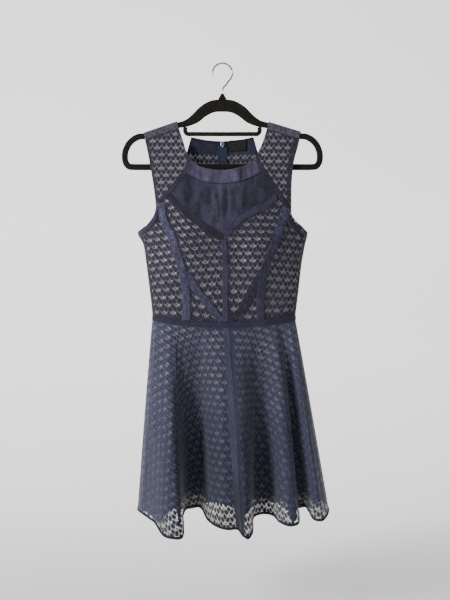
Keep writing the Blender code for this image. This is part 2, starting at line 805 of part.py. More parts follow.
def underbust_band(which):
    """The plain band along the under-bust seam, between the princess and centre bands."""
    s = SEAMS[which]
    out = 1 if which == "l" else -1
    split_x, split_drop = s["princess_split"]
    start_at = (split_x + out * 13.5, split_drop + 12.5)
    end_at = (CENTRE_WAIST[0] - out * 21.0, WAIST_TOP - 7.5)
    left, right = beside([start_at, *s["underbust"], end_at], 6, 5.5, 5.5)
    lower, upper = (left, right) if which == "l" else (right, left)
    lower[0] = beyond(lower, -13.0)
    upper[0] = beyond(upper, 6.0)
    cloth(f"underbust_band_{which}", ribbon(left, right, BAND_LIFT), FRONT, BAND_THICK, "navy")


def cf_band():
    """The plain band down the centre front, from the V to the waist."""
    points = [(V_POINT[0] + 1.2, 399.5), *CENTRE_FRONT, (CENTRE_WAIST[0], WAIST_TOP - 1.0)]
    left, right = beside(points, 6, 6.5, 6.5)
    cloth("cf_band", ribbon(left, right, BAND_LIFT), FRONT, BAND_THICK, "navy")


def armhole_band(which):
    """The plain band round the underarm: along the armhole at -X, a little inside it at +X."""
    s = SEAMS[which]
    if which == "l":
        outer_x, outer_drop = s["raglan_end"]
        points = [(outer_x, outer_drop + 1.5), *s["armhole"], (-183.0, UNDERARM - 2.5)]
        left, right = beside(points, 6, -1.0, 9.5)
    else:
        left, right = beside(s["inner_arm"], 6, 4.75, 4.75)
    cloth(f"armhole_band_{which}", ribbon(left, right, BAND_LIFT), FRONT, BAND_THICK, "navy")


def waistband_front():
    left = [(SECTION.at(drop)[0], drop) for drop in (WAIST_TOP, WAIST_LOW)]
    right = [(SECTION.at(drop)[1], drop) for drop in (WAIST_TOP, WAIST_LOW)]
    top = around("l", left[0], right[0], 22)
    low = around("l", left[1], right[1], 22)
    grid = patch(FRONT, top, low, left, right, seams="lr")
    cloth("waistband_front", grid, FRONT, LACE_THICK, "navy")


# ---------------------------------------------------------------- back

def centre_back(which, drops):
    """The edge beside the zip."""
    out = -ZIP_HALF_GAP if which == "l" else ZIP_HALF_GAP
    found = []
    for drop in drops:
        left, right = SECTION.at(drop)[:2]
        found.append(((left + right) / 2 + out, drop))
    return found


def outwards(which, edges):
    """Top, low, outer and inner edges, put in order from left to right."""
    top, low, outer, inner = edges
    return [top, low, outer, inner] if which == "l" else [top[::-1], low[::-1], inner, outer]


def back_strap_edges(which):
    s = SEAMS[which]
    top = shoulder_line(which, SHOULDER_DEEP, 5)
    outer = run([top[0], *s["strap_outer"], s["raglan_end"]], 6)
    inner = run([top[-1], *s["back_inner"], s["notch"]], 6)
    raglan = run([s["notch"], *s["back_raglan_bow"], s["raglan_end"]], 5)
    return top, raglan, outer, inner


def back_strap(which):
    top, raglan, outer, inner = back_strap_edges(which)
    grid = patch(BACK, *outwards(which, [top, raglan[::-1], outer, inner]))
    cloth(f"strap_back_{which}", grid, BACK, LACE_THICK, "lace", gap=SHARP_GAP / 2)


def back_neckband(which):
    s = SEAMS[which]
    side = run([s["back_neck_top"], s["back_neck_side"]], 2)
    centre = centre_back(which, [mix(BACK_NECK, BACK_NECKBAND_LOW, i / 2) for i in range(3)])
    top = run([side[0], (centre[0][0] * 0.5 + side[0][0] * 0.5, BACK_NECK - 1.5), centre[0]], 5)
    low = run([side[-1], centre[-1]], 5)
    grid = patch(BACK, *outwards(which, [top, low, side, centre]))
    cloth(f"neckband_back_{which}", grid, BACK, LACE_THICK, "navy")


def back_lace(which):
    """The back panel, from the neckband and strap to the waist."""
    s = SEAMS[which]
    raglan = back_strap_edges(which)[1]
    seam = side_seam(which)
    outer = raglan + run([s["raglan_end"], *s["back_armhole"], seam[0]], 3)[1:] + seam[1:]
    count = len(outer) - 1
    centre = centre_back(which, [mix(BACK_NECKBAND_LOW, WAIST_TOP, i / count) for i in range(count + 1)])
    top = run([s["notch"], s["back_neck_side"]], 1)[:1] + run([s["back_neck_side"], centre[0]], 7)
    low = around(which, outer[-1], centre[-1], 8)
    grid = patch(BACK, *outwards(which, [top, low, outer, centre]), seams=which)
    cloth(f"back_lace_{which}", grid, BACK, LACE_THICK, "lace", gap=SHARP_GAP / 2)


def waistband_back(which):
    column = 0 if which == "l" else 1
    outer = [(SECTION.at(drop)[column], drop) for drop in (WAIST_TOP, WAIST_LOW)]
    inner = centre_back(which, (WAIST_TOP, WAIST_LOW))
    top = around(which, outer[0], inner[0], 10)
    low = around(which, outer[1], inner[1], 10)
    grid = patch(BACK, *outwards(which, [top, low, outer, inner]), seams=which)
    cloth(f"waistband_back_{which}", grid, BACK, LACE_THICK, "navy")


# ---------------------------------------------------------------- lining

def bodice_lining_front():
    """The lining under the front. Its top follows the raglan seams and runs on behind the yoke."""
    sides, raglans = [], []
    for which in ("l", "r"):
        s = SEAMS[which]
        seam = side_seam(which)[::3]
        sides.append(run([s["raglan_end"], *s["armhole"], seam[0]], 3) + seam[1:])
        raglans.append([s["raglan_end"], s["raglan_princess"], s["raglan_v"]])
    left, right = raglans
    top = run(left, 3) + across(left[-1], right[-1], 8)[1:-1] + run(right[::-1], 3)
    low = around("l", sides[0][-1], sides[1][-1], len(top) - 1)
    grid = patch(FRONT, top, low, *sides, lift=-LINING_INSET)
    cloth("bodice_lining_front", grid, FRONT, LINING_THICK, "lining", gap=LINING_GAP)


def bodice_lining_back(which):
    s = SEAMS[which]
    seam = side_seam(which)[::3]
    outer = run([s["raglan_end"], *s["back_armhole"], seam[0]], 3) + seam[1:]
    out = (-1 if which == "l" else 1) * (TAPE_OUT + LINING_FROM_TAPE)
    count = len(outer) - 1
    inner = [(out, mix(outer[0][1], WAIST_TOP, i / count)) for i in range(count + 1)]
    top = across(outer[0], inner[0], 7)
    low = around(which, outer[-1], inner[-1], 7)
    grid = patch(BACK, *outwards(which, [top, low, outer, inner]), lift=-LINING_INSET)
    cloth(f"bodice_lining_back_{which}", grid, BACK, LINING_THICK, "lining", gap=LINING_GAP)


def skirt_grid(side, shares_at, rows, lift=0.0):
    """A grid of the skirt. shares_at gives the shares across for a share down."""
    return [[on_skirt(side, share, down, lift) for share in shares_at(down)] for down in rows]


def hem_shares(side, start_at, end_at):
    """Shares at the hem's points and halfway between them, from one share to another."""
    spline = HEM[side]
    inside = [spline.share(i / 2) for i in range(2 * len(spline.points) - 1)]
    ends = [start_at, start_at + SIDE_NARROW, end_at - SIDE_NARROW, end_at]
    return sorted([*ends, *(s for s in inside if start_at + 2 * SIDE_NARROW < s < end_at - 2 * SIDE_NARROW)])


def skirt_panels(side):
    """Name, shares across and finish of each panel, from left to right."""
    if side == BACK:
        edges = (("skirt_back_l", 0.0, BACK_SPLIT), ("skirt_back_r", BACK_SPLIT, 1.0))
        return [(name, hem_shares(BACK, a, b), "lace") for name, a, b in edges]
    a, b = WEDGE
    return [
        ("skirt_front_l", hem_shares(FRONT, 0.0, a), "lace"),
        ("skirt_front_wedge", [a, a + SIDE_NARROW, (a + b) / 2, b - SIDE_NARROW, b], "navy"),
        ("skirt_front_r", hem_shares(FRONT, b, 1.0), "lace"),
    ]


def skirt_columns(side):
    """The shares of all the panels' columns, without the narrow ones beside the inner seams."""
    found = []
    for _, shares, _ in skirt_panels(side):
        found += [share for share in shares if not found or share > found[-1] + SIDE_NARROW * 1.5]
    found[-1] = 1.0
    return found


def skirt_cloth(side):
    for name, shares, finish in skirt_panels(side):
        grid = skirt_grid(side, lambda down: shares, SKIRT_ROWS)
        cloth(name, grid, side, LACE_THICK, finish, gap=SHARP_GAP / 2)


def hem_binding(name, side):
    """The tape round the hem, outside the lace."""
    shares = skirt_columns(side)
    start_at = 1.0 - BINDING_DEEP / (FRONT_HEM[0][2] - WAIST_LOW)
    grid = skirt_grid(side, lambda down: shares, (start_at, 1.0), BAND_LIFT)
    cloth(name, grid, side, BAND_THICK, "binding")


def skirt_lining(name, side):
    """The lining ends above the hem."""
    inside = skirt_columns(side)[2:-2]

    def shares_at(down):
        short = mix(*LINING_OPEN, down)
        return [short, *inside, 1.0 - short]

    grid = skirt_grid(side, shares_at, (*LINING_ROWS, LINING_ENDS[side]), -LINING_INSET)
    cloth(name, grid, side, LINING_THICK, "lining")


# ---------------------------------------------------------------- zip and label

def zip_strip(name, from_x, to_x, inset, thick, finish):
    """A strip inside the back, beside or on the centre line, from the slider down into the skirt."""
    grid = []
    for drop in (SLIDER_LOW + 0.3, 215.0, 260.0, 310.0, 372.0, 430.0, 480.0, 510.0, 540.0, WAIST_LOW - 0.2):
        left, right = SECTION.at(drop)[:2]
        middle = (left + right) / 2
        grid.append([on_bodice(BACK, middle + x, drop, -inset) for x in (from_x, to_x)])
    for down in (0.05, 0.16, ZIP_LOW):
        near = on_skirt(BACK, BACK_SPLIT - 0.01, down)
        wide = (on_skirt(BACK, BACK_SPLIT + 0.01, down) - near).length / 0.02
        shares = [BACK_SPLIT + x / wide for x in (from_x, to_x)]
        grid.append([on_skirt(BACK, share, down, -inset) for share in shares])
    cloth(name, grid, BACK, thick, finish, gap=0.0)


def zip_parts():
    zip_strip("zip_chain", -CHAIN_WIDE / 2, CHAIN_WIDE / 2, TAPE_INSET, CHAIN_THICK, "tape")
    zip_strip("zip_tape_l", -TAPE_OUT, -TAPE_IN, TAPE_INSET, TAPE_THICK, "tape")
    zip_strip("zip_tape_r", TAPE_IN, TAPE_OUT, TAPE_INSET, TAPE_THICK, "tape")


def block(name, centre, size, finish, round_by):
    """A box with softened edges."""
    mesh = bpy.data.meshes.new(name)
    bm = bmesh.new()
    bmesh.ops.create_cube(bm, size=1.0)
    bmesh.ops.scale(bm, vec=Vector(size) * MM, verts=bm.verts)
    bm.to_mesh(mesh)
    bm.free()
    piece = keep(name, mesh, finish)
    piece.location = Vector(centre) * MM
    edge = piece.modifiers.new("edge", "BEVEL")
    edge.width = round_by * MM
    edge.segments = 2
    return piece


def plate(name, outline, holes, thick, finish):
    """A flat plate with holes, drawn in x and y and lying flat."""
    curve = bpy.data.curves.new(name, "CURVE")
    curve.dimensions = "2D"
    curve.fill_mode = "BOTH"
    curve.extrude = thick / 2 * MM
    for points in (outline, *holes):
        line = curve.splines.new("POLY")
        line.points.add(len(points) - 1)
        for spot, (x, y) in zip(line.points, points):
            spot.co = (x * MM, y * MM, 0.0, 1.0)
        line.use_cyclic_u = True
    curve.materials.append(FINISH[finish])
    piece = bpy.data.objects.new(name, curve)
    PARTS.objects.link(piece)
    return piece


def rounded(width, height, radius, low=0.0):
    """A rectangle with rounded corners, its lower edge at low."""
    found = []
    corners = (
        (width / 2 - radius, low + radius, -90),
        (width / 2 - radius, low + height - radius, 0),
        (-width / 2 + radius, low + height - radius, 90),
        (-width / 2 + radius, low + radius, 180),
    )
    for x, y, begin in corners:
        for turn in (0, 30, 60, 90):
            way = math.radians(begin + turn)
            found.append((x + radius * math.cos(way), y + radius * math.sin(way)))
    return found


def slider_and_pull():
    """The slider inside the zip, its loop outside the back, and the pull that swings on it."""
    middle_drop = (SLIDER_TOP + SLIDER_LOW) / 2
    outer = on_bodice(BACK, 0.0, middle_drop)
    body_y = outer.y - LACE_THICK - SLIDER_FREE - SLIDER_DEEP / 2
    body = block(
        "zip_slider",
        (0.0, body_y, -middle_drop),
        (SLIDER_WIDE, SLIDER_DEEP, SLIDER_LOW - SLIDER_TOP),
        "enamel",
        1.2,
    )
    # The loop is drawn from the side, then joined on through the gap between the back edges.
    loop_y = outer.y + PULL_STANDS_OFF
    reach = loop_y - body_y - 1.0
    loop_outline = [(-reach, -3.0), (0.6, -3.0), (2.1, -1.6), (2.1, 1.6), (0.6, 3.0), (-reach, 3.0)]
    loop_hole = [(-1.3, -1.2), (-1.3, 1.2), (1.2, 1.2), (1.2, -1.2)]
    drawn = plate("zip_loop", loop_outline, [loop_hole], LOOP_WIDE, "enamel")
    drawn.rotation_euler = (math.pi / 2, 0.0, math.pi / 2)
    drawn.location = Vector((0.0, loop_y, -middle_drop)) * MM
    bpy.context.view_layer.update()
    seen = drawn.evaluated_get(bpy.context.evaluated_depsgraph_get())
    mesh = bpy.data.meshes.new_from_object(seen)
    bm = bmesh.new()
    bm.from_mesh(mesh)
    bmesh.ops.remove_doubles(bm, verts=bm.verts, dist=0.00001)
    bm.to_mesh(mesh)
    bm.free()
    loop = bpy.data.objects.new("zip_loop_solid", mesh)
    loop.matrix_world = drawn.matrix_world
    bpy.data.objects.remove(drawn)
    CUTTERS.objects.link(loop)
    loop.hide_render = True
    loop.display_type = "WIRE"
    join = body.modifiers.new("loop", "BOOLEAN")
    join.operation = "UNION"
    join.object = loop
    outline = rounded(PULL_WIDE, PULL_LONG, 1.6, low=PULL_BAR / 2 - PULL_LONG)
    window_wide, window_high = PULL_WINDOW
    window = rounded(window_wide, window_high, 0.4, low=-PULL_BAR / 2 - window_high)
    pull = plate("zip_pull", outline, [window], PULL_THICK, "enamel")
    pull.rotation_euler = (math.pi / 2, 0.0, 0.0)
    pull.location = Vector((0.0, loop_y, -middle_drop)) * MM


def neck_label():
    left = [(LABEL_X[0], LABEL_DROP[0]), (LABEL_X[0], LABEL_DROP[1])]
    right = [(LABEL_X[1], LABEL_DROP[0] - 1.5), (LABEL_X[1], LABEL_DROP[1] - 1.0)]
    grid = ribbon(left, right, -(LACE_THICK + LABEL_BEHIND), columns=3, side=BACK)
    cloth("neck_label", grid, BACK, LABEL_THICK, "label", gap=0.0)


# ---------------------------------------------------------------- hanger

def tube(name, stations, thick, first=0, last=None, sides=8):
    """A bar of rounded section through stations of x, drop and height, or a stretch of them.

    Its ends are drawn in, so that it parts from the bar that the next stretch makes.
    """
    last = len(stations) - 1 if last is None else last
    points = []
    for i in range(first, last + 1):
        x, drop, high = stations[i]
        before = stations[max(i - 1, 0)]
        after = stations[min(i + 1, len(stations) - 1)]
        along = Vector((after[0] - before[0], 0.0, before[1] - after[1])).normalized()
        up = Vector((-along.z, 0.0, along.x))
        middle = Vector((x, 0.0, -drop)) + along * SEAM_GAP / 2 * ((i == first) - (i == last))
        for k in range(sides):
            turn = math.tau * (k + 0.5) / sides
            rise, side = (math.copysign(abs(w) ** 0.6, w) for w in (math.cos(turn), math.sin(turn)))
            spot = middle + up * (rise * high / 2)
            spot.y += side * thick / 2
            points.append(spot * MM)
    faces = []
    rings = last - first
    for i in range(rings):
        for k in range(sides):
            a = i * sides + k
            b = i * sides + (k + 1) % sides
            faces.append((a, b, b + sides, a + sides))
    faces.append(tuple(range(sides))[::-1])
    faces.append(tuple(rings * sides + k for k in range(sides)))
    mesh = bpy.data.meshes.new(name)
    mesh.from_pydata(points, [], faces)
    bm = bmesh.new()
    bm.from_mesh(mesh)
    bmesh.ops.recalc_face_normals(bm, faces=bm.faces)
    bm.to_mesh(mesh)
    bm.free()
    mesh.shade_smooth()
    mesh.set_sharp_from_angle(angle=math.radians(50))
    return keep(name, mesh, "velvet")


def stations(points, step):
    """Stations along the smooth curve through points of x, drop and height, step points apart."""
    line = Spline([(x, drop, 0.0) for x, drop, _ in points])
    found = []
    for i in range(int((len(points) - 1) / step) + 1):
        number = i * step
        low = min(int(number), len(points) - 2)
        place = line.at(number)
        found.append((place.x, place.y, mix(points[low][2], points[low + 1][2], number - low)))
    return found


def hanger():
    """The frame runs from the bar round one end, over the arch and round the other end."""
    half = [*ARCH, *((x, drop, ARM_HIGH) for x, drop in END), (END[-1][0] - BAR_BEYOND, BAR_DROP, ARM_HIGH)]
    frame = stations([(-x, drop, high) for x, drop, high in half[:0:-1]] + half, 0.5)
    middle = len(frame) // 2
    arch_end = 2 * (len(ARCH) - 1)
    turn_end = 2 * (len(half) - 2)
    tube("hanger_end_l", frame, HANGER_THICK, middle - turn_end, middle - arch_end)
    tube("hanger_arch", frame, HANGER_THICK, middle - arch_end, middle + arch_end)
    tube("hanger_end_r", frame, HANGER_THICK, middle + arch_end, middle + turn_end)
    reach = END[-1][0]
    bar = [(x, BAR_DROP, ARM_HIGH) for x in (-reach, 0.0, reach)]
    tube("hanger_bar", bar, HANGER_THICK)
    tie = [(x, drop, TIE_HIGH) for x, drop in TIE_BAR]
    tube("hanger_tie_bar", [(-x, drop, high) for x, drop, high in tie] + tie[::-1], HANGER_THICK - 0.5)
    collar()
    hook()


def collar():
    """The pointed collar that the hook screws into: a turned profile, flattened to the hanger."""
    mesh = bpy.data.meshes.new("hanger_collar")
    bm = bmesh.new()
    high = COLLAR_LOW - COLLAR_TOP
    foot, tip = (radius * MM for radius in COLLAR_RADII)
    bmesh.ops.create_cone(bm, cap_ends=True, segments=12, radius1=foot, radius2=tip, depth=high * MM)
    for vert in bm.verts:
        if vert.co.z < 0:
            vert.co.y *= COLLAR_FLAT
        else:
            vert.co.y *= 0.9
    bm.to_mesh(mesh)
    bm.free()
    piece = keep("hanger_collar", mesh, "velvet")
    piece.location = Vector((0.0, 0.0, -(COLLAR_TOP + COLLAR_LOW) / 2)) * MM


def hook():
    """The steel hook: a stem, a bend to one side, and most of a circle round the rail."""
    ring = HOOK_RADIUS + WIRE
    route = [(0.0, COLLAR_TOP - SEAM_GAP), (0.0, 58.0), (2.4, 51.5), (8.5, 45.5)]
    for turn in range(-52, 206, 13):
        way = math.radians(turn)
        route.append((ring * math.cos(way), HOOK_RADIUS - ring * math.sin(way)))
    curve = bpy.data.curves.new("hanger_hook", "CURVE")
    curve.dimensions = "3D"
    curve.bevel_depth = WIRE * MM
    curve.bevel_resolution = 2
    curve.use_fill_caps = True
    line = curve.splines.new("POLY")
    line.points.add(len(route) - 1)
    for spot, (x, drop) in zip(line.points, route):
        spot.co = (x * MM, 0.0, -drop * MM, 1.0)
    curve.materials.append(FINISH["steel"])
    piece = bpy.data.objects.new("hanger_hook", curve)
    PARTS.objects.link(piece)


def dress():
    for which in ("l", "r"):
        shoulder_band(which)
        front_strap(which)
        raglan_band(which)
        bust(which)
        v_band(which)
        underbust_lace(which)
        side_lace(which)
        princess_band(which)
        underbust_band(which)
        armhole_band(which)
        back_strap(which)
        back_neckband(which)
        back_lace(which)
        waistband_back(which)
        bodice_lining_back(which)
    front_neck()
    cf_band()
    waistband_front()
    bodice_lining_front()
    for name, side in (("front", FRONT), ("back", BACK)):
        skirt_cloth(side)
        hem_binding(f"hem_binding_{name}", side)
        skirt_lining(f"skirt_lining_{name}", side)
    zip_parts()
    slider_and_pull()
    neck_label()


dress()
hanger()
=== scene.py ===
"""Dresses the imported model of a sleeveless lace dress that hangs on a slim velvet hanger.

Lengths inside the file are millimetres, as a pattern cutter writes them, and each piece
is turned into metres when its mesh is made. Heights are given as a drop below the inside
of the hanger's hook. The front faces -Y, and l is the side at -X.
"""

import math

import bmesh
import bpy
import numpy as np
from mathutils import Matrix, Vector


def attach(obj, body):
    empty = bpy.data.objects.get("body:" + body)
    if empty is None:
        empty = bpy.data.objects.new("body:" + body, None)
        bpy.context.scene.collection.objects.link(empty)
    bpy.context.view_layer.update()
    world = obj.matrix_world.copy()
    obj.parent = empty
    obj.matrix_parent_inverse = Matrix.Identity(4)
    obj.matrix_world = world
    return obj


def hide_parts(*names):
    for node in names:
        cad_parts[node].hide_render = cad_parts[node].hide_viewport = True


bl_info = {
    "name": "Lace dress on a hanger",
    "version": (1, 0, 0),
    "blender": (4, 5, 0),
    "location": "View3D > Sidebar > Lace dress",
    "description": "Sews the lace, bands, lining, zip and hanger over the packed dress",
    "category": "Object",
}

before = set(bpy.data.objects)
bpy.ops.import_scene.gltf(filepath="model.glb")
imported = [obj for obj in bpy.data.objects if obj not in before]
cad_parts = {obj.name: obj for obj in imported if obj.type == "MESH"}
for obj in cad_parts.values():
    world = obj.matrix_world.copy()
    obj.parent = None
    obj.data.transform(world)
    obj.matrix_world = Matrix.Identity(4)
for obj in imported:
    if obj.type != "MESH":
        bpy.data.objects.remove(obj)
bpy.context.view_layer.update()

MM = 0.001
FRONT, BACK = -1, 1
FACES = {"front": FRONT, "back": BACK}
BODY = "garment"
SIDES = ("l", "r")

# ---------------------------------------------------------------- the cut of the dress

UNDERARM = 372.0
WAIST_TOP = 555.0       # upper edge of the waistband at the side seams
WAIST_LOW = 567.0
WAISTBAND = (WAIST_TOP, WAIST_LOW)
SIDE_SEAM_DROPS = (UNDERARM, 379, 387, 398, 420, 443, 470, 500, 530, WAIST_TOP)
FRONT_WAIST_DIP = 14.0
BACK_WAIST_DIP = 5.0
DIP_STARTS = 470.0
SHOULDER_DEEP = 17.0
SHOULDER_BEND = 4.7
SHOULDER_LIFT = 0.5
SHOULDER_LEAN = 0.24    # how far a line along the shoulder moves in for each millimetre down

# Bodice sections, from the hanger down to the waist seam:
# drop, left edge, right edge, front depth, back depth, back bow, held off by the hanger
SECTIONS = (
    (110, -187, 187, 0, 0, 14, 4.7),
    (150, -187, 187, 1, 1, 14, 4.7),
    (170, -187, 187, 4, 3, 13.5, 4.7),
    (200, -187, 187, 11, 7, 12, 4.7),
    (240, -187, 187, 24, 13, 9, 4.4),
    (310, -187, 187, 38, 22, 4, 2),
    (372, -186.5, 187.5, 44, 30, 0, 0),
    (398, -174, 182, 45, 31, 0, 0),
    (443, -167, 174, 44, 30, 0, 0),
    (495, -160.5, 168, 39, 28, 0, 0),
    (536, -155.5, 163, 35, 26, 0, 0),
    (556, -154, 161, 33, 25, 0, 0),
    (580, -154.5, 161, 33, 25, 0, 0),
)
BOW_WIDE = 55.0

# Fullness that the princess seams give the front: x, drop, forward, half-width, half-height
FULLNESS = ((-76, 418, 11, 48, 52), (88, 418, 12, 48, 52))

# Seams of the bodice, each as x and drop
SEAMS = {
    "l": {
        "shoulder": ((-174, 151), (-100, 125.8)),
        "strap_outer": ((-163.5, 195), (-155, 239), (-147, 287)),
        "strap_inner": ((-87, 169), (-78.5, 196)),
        "neck_corner": (-68, 214.5),
        "raglan_top": (-78, 245.5),
        "raglan_bow": (-98, 271),
        "raglan_v": (-113, 289),
        "raglan_princess": (-134, 309.5),
        "raglan_end": (-143.5, 318),
        "armhole": ((-148, 336), (-163.5, 357)),
        "back_armhole": ((-151.5, 336), (-167.5, 357.5)),
        "v_bow": ((-58, 338),),
        "v_band_low": ((-117.5, 304), (-63.5, 354.5), (-23, 385)),
        "princess": ((-128, 344), (-111, 381), (-98, 421)),
        "princess_split": (-86, 456),
        "princess_low": ((-79, 499),),
        "princess_end": (-77.5, WAIST_TOP),
        "underbust": ((-62, 489), (-36, 518)),
        "back_inner": ((-95, 172),),
        "notch": (-87, 201),
        "back_neck_side": (-80, 195),
        "back_neck_top": (-69.5, 159),
        "back_raglan_bow": ((-101, 262),),
    },
    "r": {
        "shoulder": ((173.5, 148.6), (102, 126.8)),
        "strap_outer": ((165, 184), (155.5, 219), (150.5, 267)),
        "strap_inner": ((87.6, 176), (77.5, 198)),
        "neck_corner": (71.5, 213),
        "raglan_top": (85, 243.5),
        "raglan_bow": (104, 270),
        "raglan_v": (116, 287),
        "raglan_princess": (138.5, 320),
        "raglan_end": (149, 331),
        "armhole": ((152.5, 340), (167, 356)),
        "inner_arm": ((141, 342), (148, 351), (158, 364), (168, 375), (178.5, 385.5)),
        "back_armhole": ((155, 341), (169, 356.5)),
        "v_bow": ((88, 310), (42, 335)),
        "v_band_low": ((121.5, 304), (94.5, 325), (47.5, 349), (20.5, 375)),
        "princess": ((131, 346), (120, 379), (108, 412)),
        "princess_split": (90, 460),
        "princess_low": ((84, 500),),
        "princess_end": (82.5, WAIST_TOP),
        "underbust": ((64, 503), (40, 532)),
        "back_inner": ((97, 172),),
        "notch": (88, 201),
        "back_neck_side": (79.5, 195),
        "back_neck_top": (69, 159),
        "back_raglan_bow": ((102, 262),),
    },
}
NECKLINE = ((-54, 227), (-34, 235), (0, 238.7), (34, 233.5), (54.5, 225))
NECKBAND_LOW = ((-40.5, 263.5), (0, 269), (41, 263.5), (68, 252))
V_POINT = (3.0, 379.0)
CENTRE_FRONT = ((6.0, 430.0), (7.0, 500.0))
CENTRE_WAIST = (7.0, WAIST_TOP)
BACK_NECK = 165.5
BACK_NECKBAND_LOW = 195.5
ZIP_HALF_GAP = 1.2

# Hem of the skirt as it hangs in folds: x, y, drop
FRONT_HEM = (
    (-186.5, 0, 985), (-160, -40, 991), (-143, -62, 995), (-123, -87, 1014), (-105, -100, 1016),
    (-85.5, -95, 1017), (-83.5, -52, 1003), (-86, -14, 993), (-78, 17, 987), (-52, 22, 985),
    (-31, -34, 998), (-12, -62, 1003), (12, -76, 1005), (32, -78, 1004), (43.5, -93, 1013),
    (53.5, -98, 1017), (62, -84, 1011), (64, -50, 1000), (71, -18, 994), (92, -6, 992),
    (111, -18, 993), (122, -46, 998), (142, -67, 1000), (161, -58, 999), (166.5, -12, 990),
    (168, 18, 983), (183, 20, 983), (191, -12, 987), (199, -42, 995), (213, -48, 995),
    (226, -30, 991), (234, 0, 982),
)
BACK_HEM = (
    (-186.5, 0, 985), (-179, 42, 992), (-160, 84, 1003), (-136, 108, 1002), (-112, 100, 1001),
    (-100, 66, 1001), (-80, 54, 998), (-60, 76, 1001), (-42, 112, 1001), (-15, 122, 1001),
    (8, 104, 1000), (24, 68, 1001), (46, 54, 998), (66, 76, 1002), (84, 110, 1001),
    (110, 120, 1001), (132, 98, 1000), (144, 64, 1000), (164, 52, 997), (184, 68, 999),
    (206, 84, 1000), (225, 58, 992), (234, 0, 982),
)

# How the skirt hangs: a share of the way across the hem, the share of the waist above it, and
# the power of the way down by which it widens there, above 1 where it hangs a little first
FRONT_HANG = (
    (0, 0, 0.92), (0.218, 0.195, 1.05), (0.33, 0.355, 1.05), (0.478, 0.495, 1),
    (0.504, 0.536, 0.95), (0.54, 0.622, 0.9), (0.64, 0.737, 0.82), (0.74, 0.83, 0.78),
    (0.85, 0.885, 0.85), (1, 1, 0.98),
)
BACK_HANG = ((0, 0, 0.92), (0.2, 0.2, 1.08), (0.8, 0.8, 1.08), (1, 1, 0.98))
FOLD_POWER = 0.9        # the folds start at once
SKIRT_LONG = FRONT_HEM[0][2] - WAIST_LOW
WEDGE = (0.478, 0.504)  # the plain wedge, as shares of the front's hem
BACK_SPLIT = 0.5
# The hem tape's section, round the edge of the lace: below the hem, and out from the lace
HEM_PROFILE = (
    (-4.9, 0.9), (-4.5, 1.6), (-3, 2), (-1.2, 1.9), (0, 1.3), (0.6, 0.3), (0.2, -0.7),
    (-1.4, -1.2), (-3.4, -1.2), (-4.6, -0.8),
)
HEM_GRID = 2.5
HEM_UNEVEN = 0.16       # share by which the tape is fuller or flatter from place to place
HEM_ABOVE = 0.04        # share of the skirt over which its slant at the hem is measured
LINING_INSET = 4.0
LINING_GRID = 4.5
LINING_CREASED = (0.6, 0.5)     # share of the creases that it follows, in the bodice and the skirt
LINING_DOWN = 0.955     # the back's lining ends this share of the way down the skirt
# Share across the front, and how far down the lining hangs there
FRONT_LINING_ENDS = (
    (0, 0.985), (0.09, 0.985), (0.115, 0.93), (0.155, 0.865), (0.168, 0.955), (0.19, 0.93),
    (0.24, 0.93), (0.28, 0.92), (0.34, 0.935), (0.37, 0.93), (0.4, 0.9), (0.44, 0.88), (0.478, 0.9),
    (0.488, 0.985), (0.503, 0.985), (0.514, 0.89), (0.545, 0.89), (0.57, 0.925), (0.61, 0.915),
    (0.65, 0.91), (0.69, 0.9), (0.722, 0.885), (0.737, 0.98), (0.825, 0.98), (0.842, 0.94),
    (0.87, 0.935), (0.9, 0.915), (0.95, 0.91), (1, 0.95),
)
LINING_OPEN = (0.014, 0.005)    # how far it stops short of the side seams, at the waist and hem
LINING_ROWS = 90
LINING_UNEVEN = {FRONT: 0.003, BACK: 0.008}     # share of the skirt by which its hem strays
LINING_FROM_ZIP = 16.0

# Hanger: x, drop of the middle, height, from the centre out
ARCH = (
    (0, 91.5, 26.5), (22, 93.5, 26), (42, 104, 24), (61, 120.5, 20.5), (80, 130.6, 13.5),
    (100, 135.5, 11), (140, 148.5, 10.5), (172, 158.8, 11.6), (184, 160, 12.5), (197, 166.5, 12.5),
)
END = ((207.5, 177.5), (214.9, 196), (214, 215.5), (207, 225.5), (196, 227.3))
ARM_HIGH = 12.5
BAR_DROP = 227.3
TIE_BAR = ((82, 139.6), (82, 149), (77.5, 153.9), (68, 154.2))
TIE_HIGH = 8.2
HANGER_THICK = 5.5
NAP = 1.2               # the flock's nap adds this to the height of the bars
SQUARENESS = 0.7        # power that makes a bar's round section squarer the further below 1 it is
HOOK_RADIUS = 20.0
WIRE = 2.0
HOOK_START = ((0, 67), (0, 58), (2.4, 51.5), (8.5, 45.5))
HOOK_TURNS = range(-52, 206, 13)    # degrees round the rail
HOOK_STEPS, WIRE_SIDES = 180, 16
# Drop, half-width and half-depth of the collar, from the hanger up to the hook
COLLAR = (
    (77.6, 8.4, 2.7), (77, 9, 2.9), (75, 8.4, 2.9), (72, 6.6, 2.8), (69, 4.9, 2.7),
    (66.6, 3.6, 2.6), (65.4, 2.9, 2.5),
)
COLLAR_SIDES = 28
SLIDER_LOW = 177.5
TAPE_OFFSETS = (0.04, 5.5, 11.0)    # across the zip's tape, from the zip's line
TAPE_GRID = (260, 8)    # steps down and across
TAPE_INSET, TAPE_THICK = 2.0, 0.5
COIL_HALF, COIL_INSET, COIL_STEPS = 2.5, 2.3, 1000
COIL_WIRE, COIL_RISE, COIL_END = 0.62, 0.35, 0.6
ZIP_LOW = 0.33          # share of the skirt that the zip runs down
LABEL_X = (15.5, 53.5)
LABEL_DROP = (164.5, 188.0)
LABEL_SLANT = (1.5, 1.0)    # how far its upper and lower edges rise from left to right
LABEL_INSET, LABEL_THICK = 1.9, 0.4
LABEL_BELLY, LABEL_RIPPLE = 0.5, 0.35

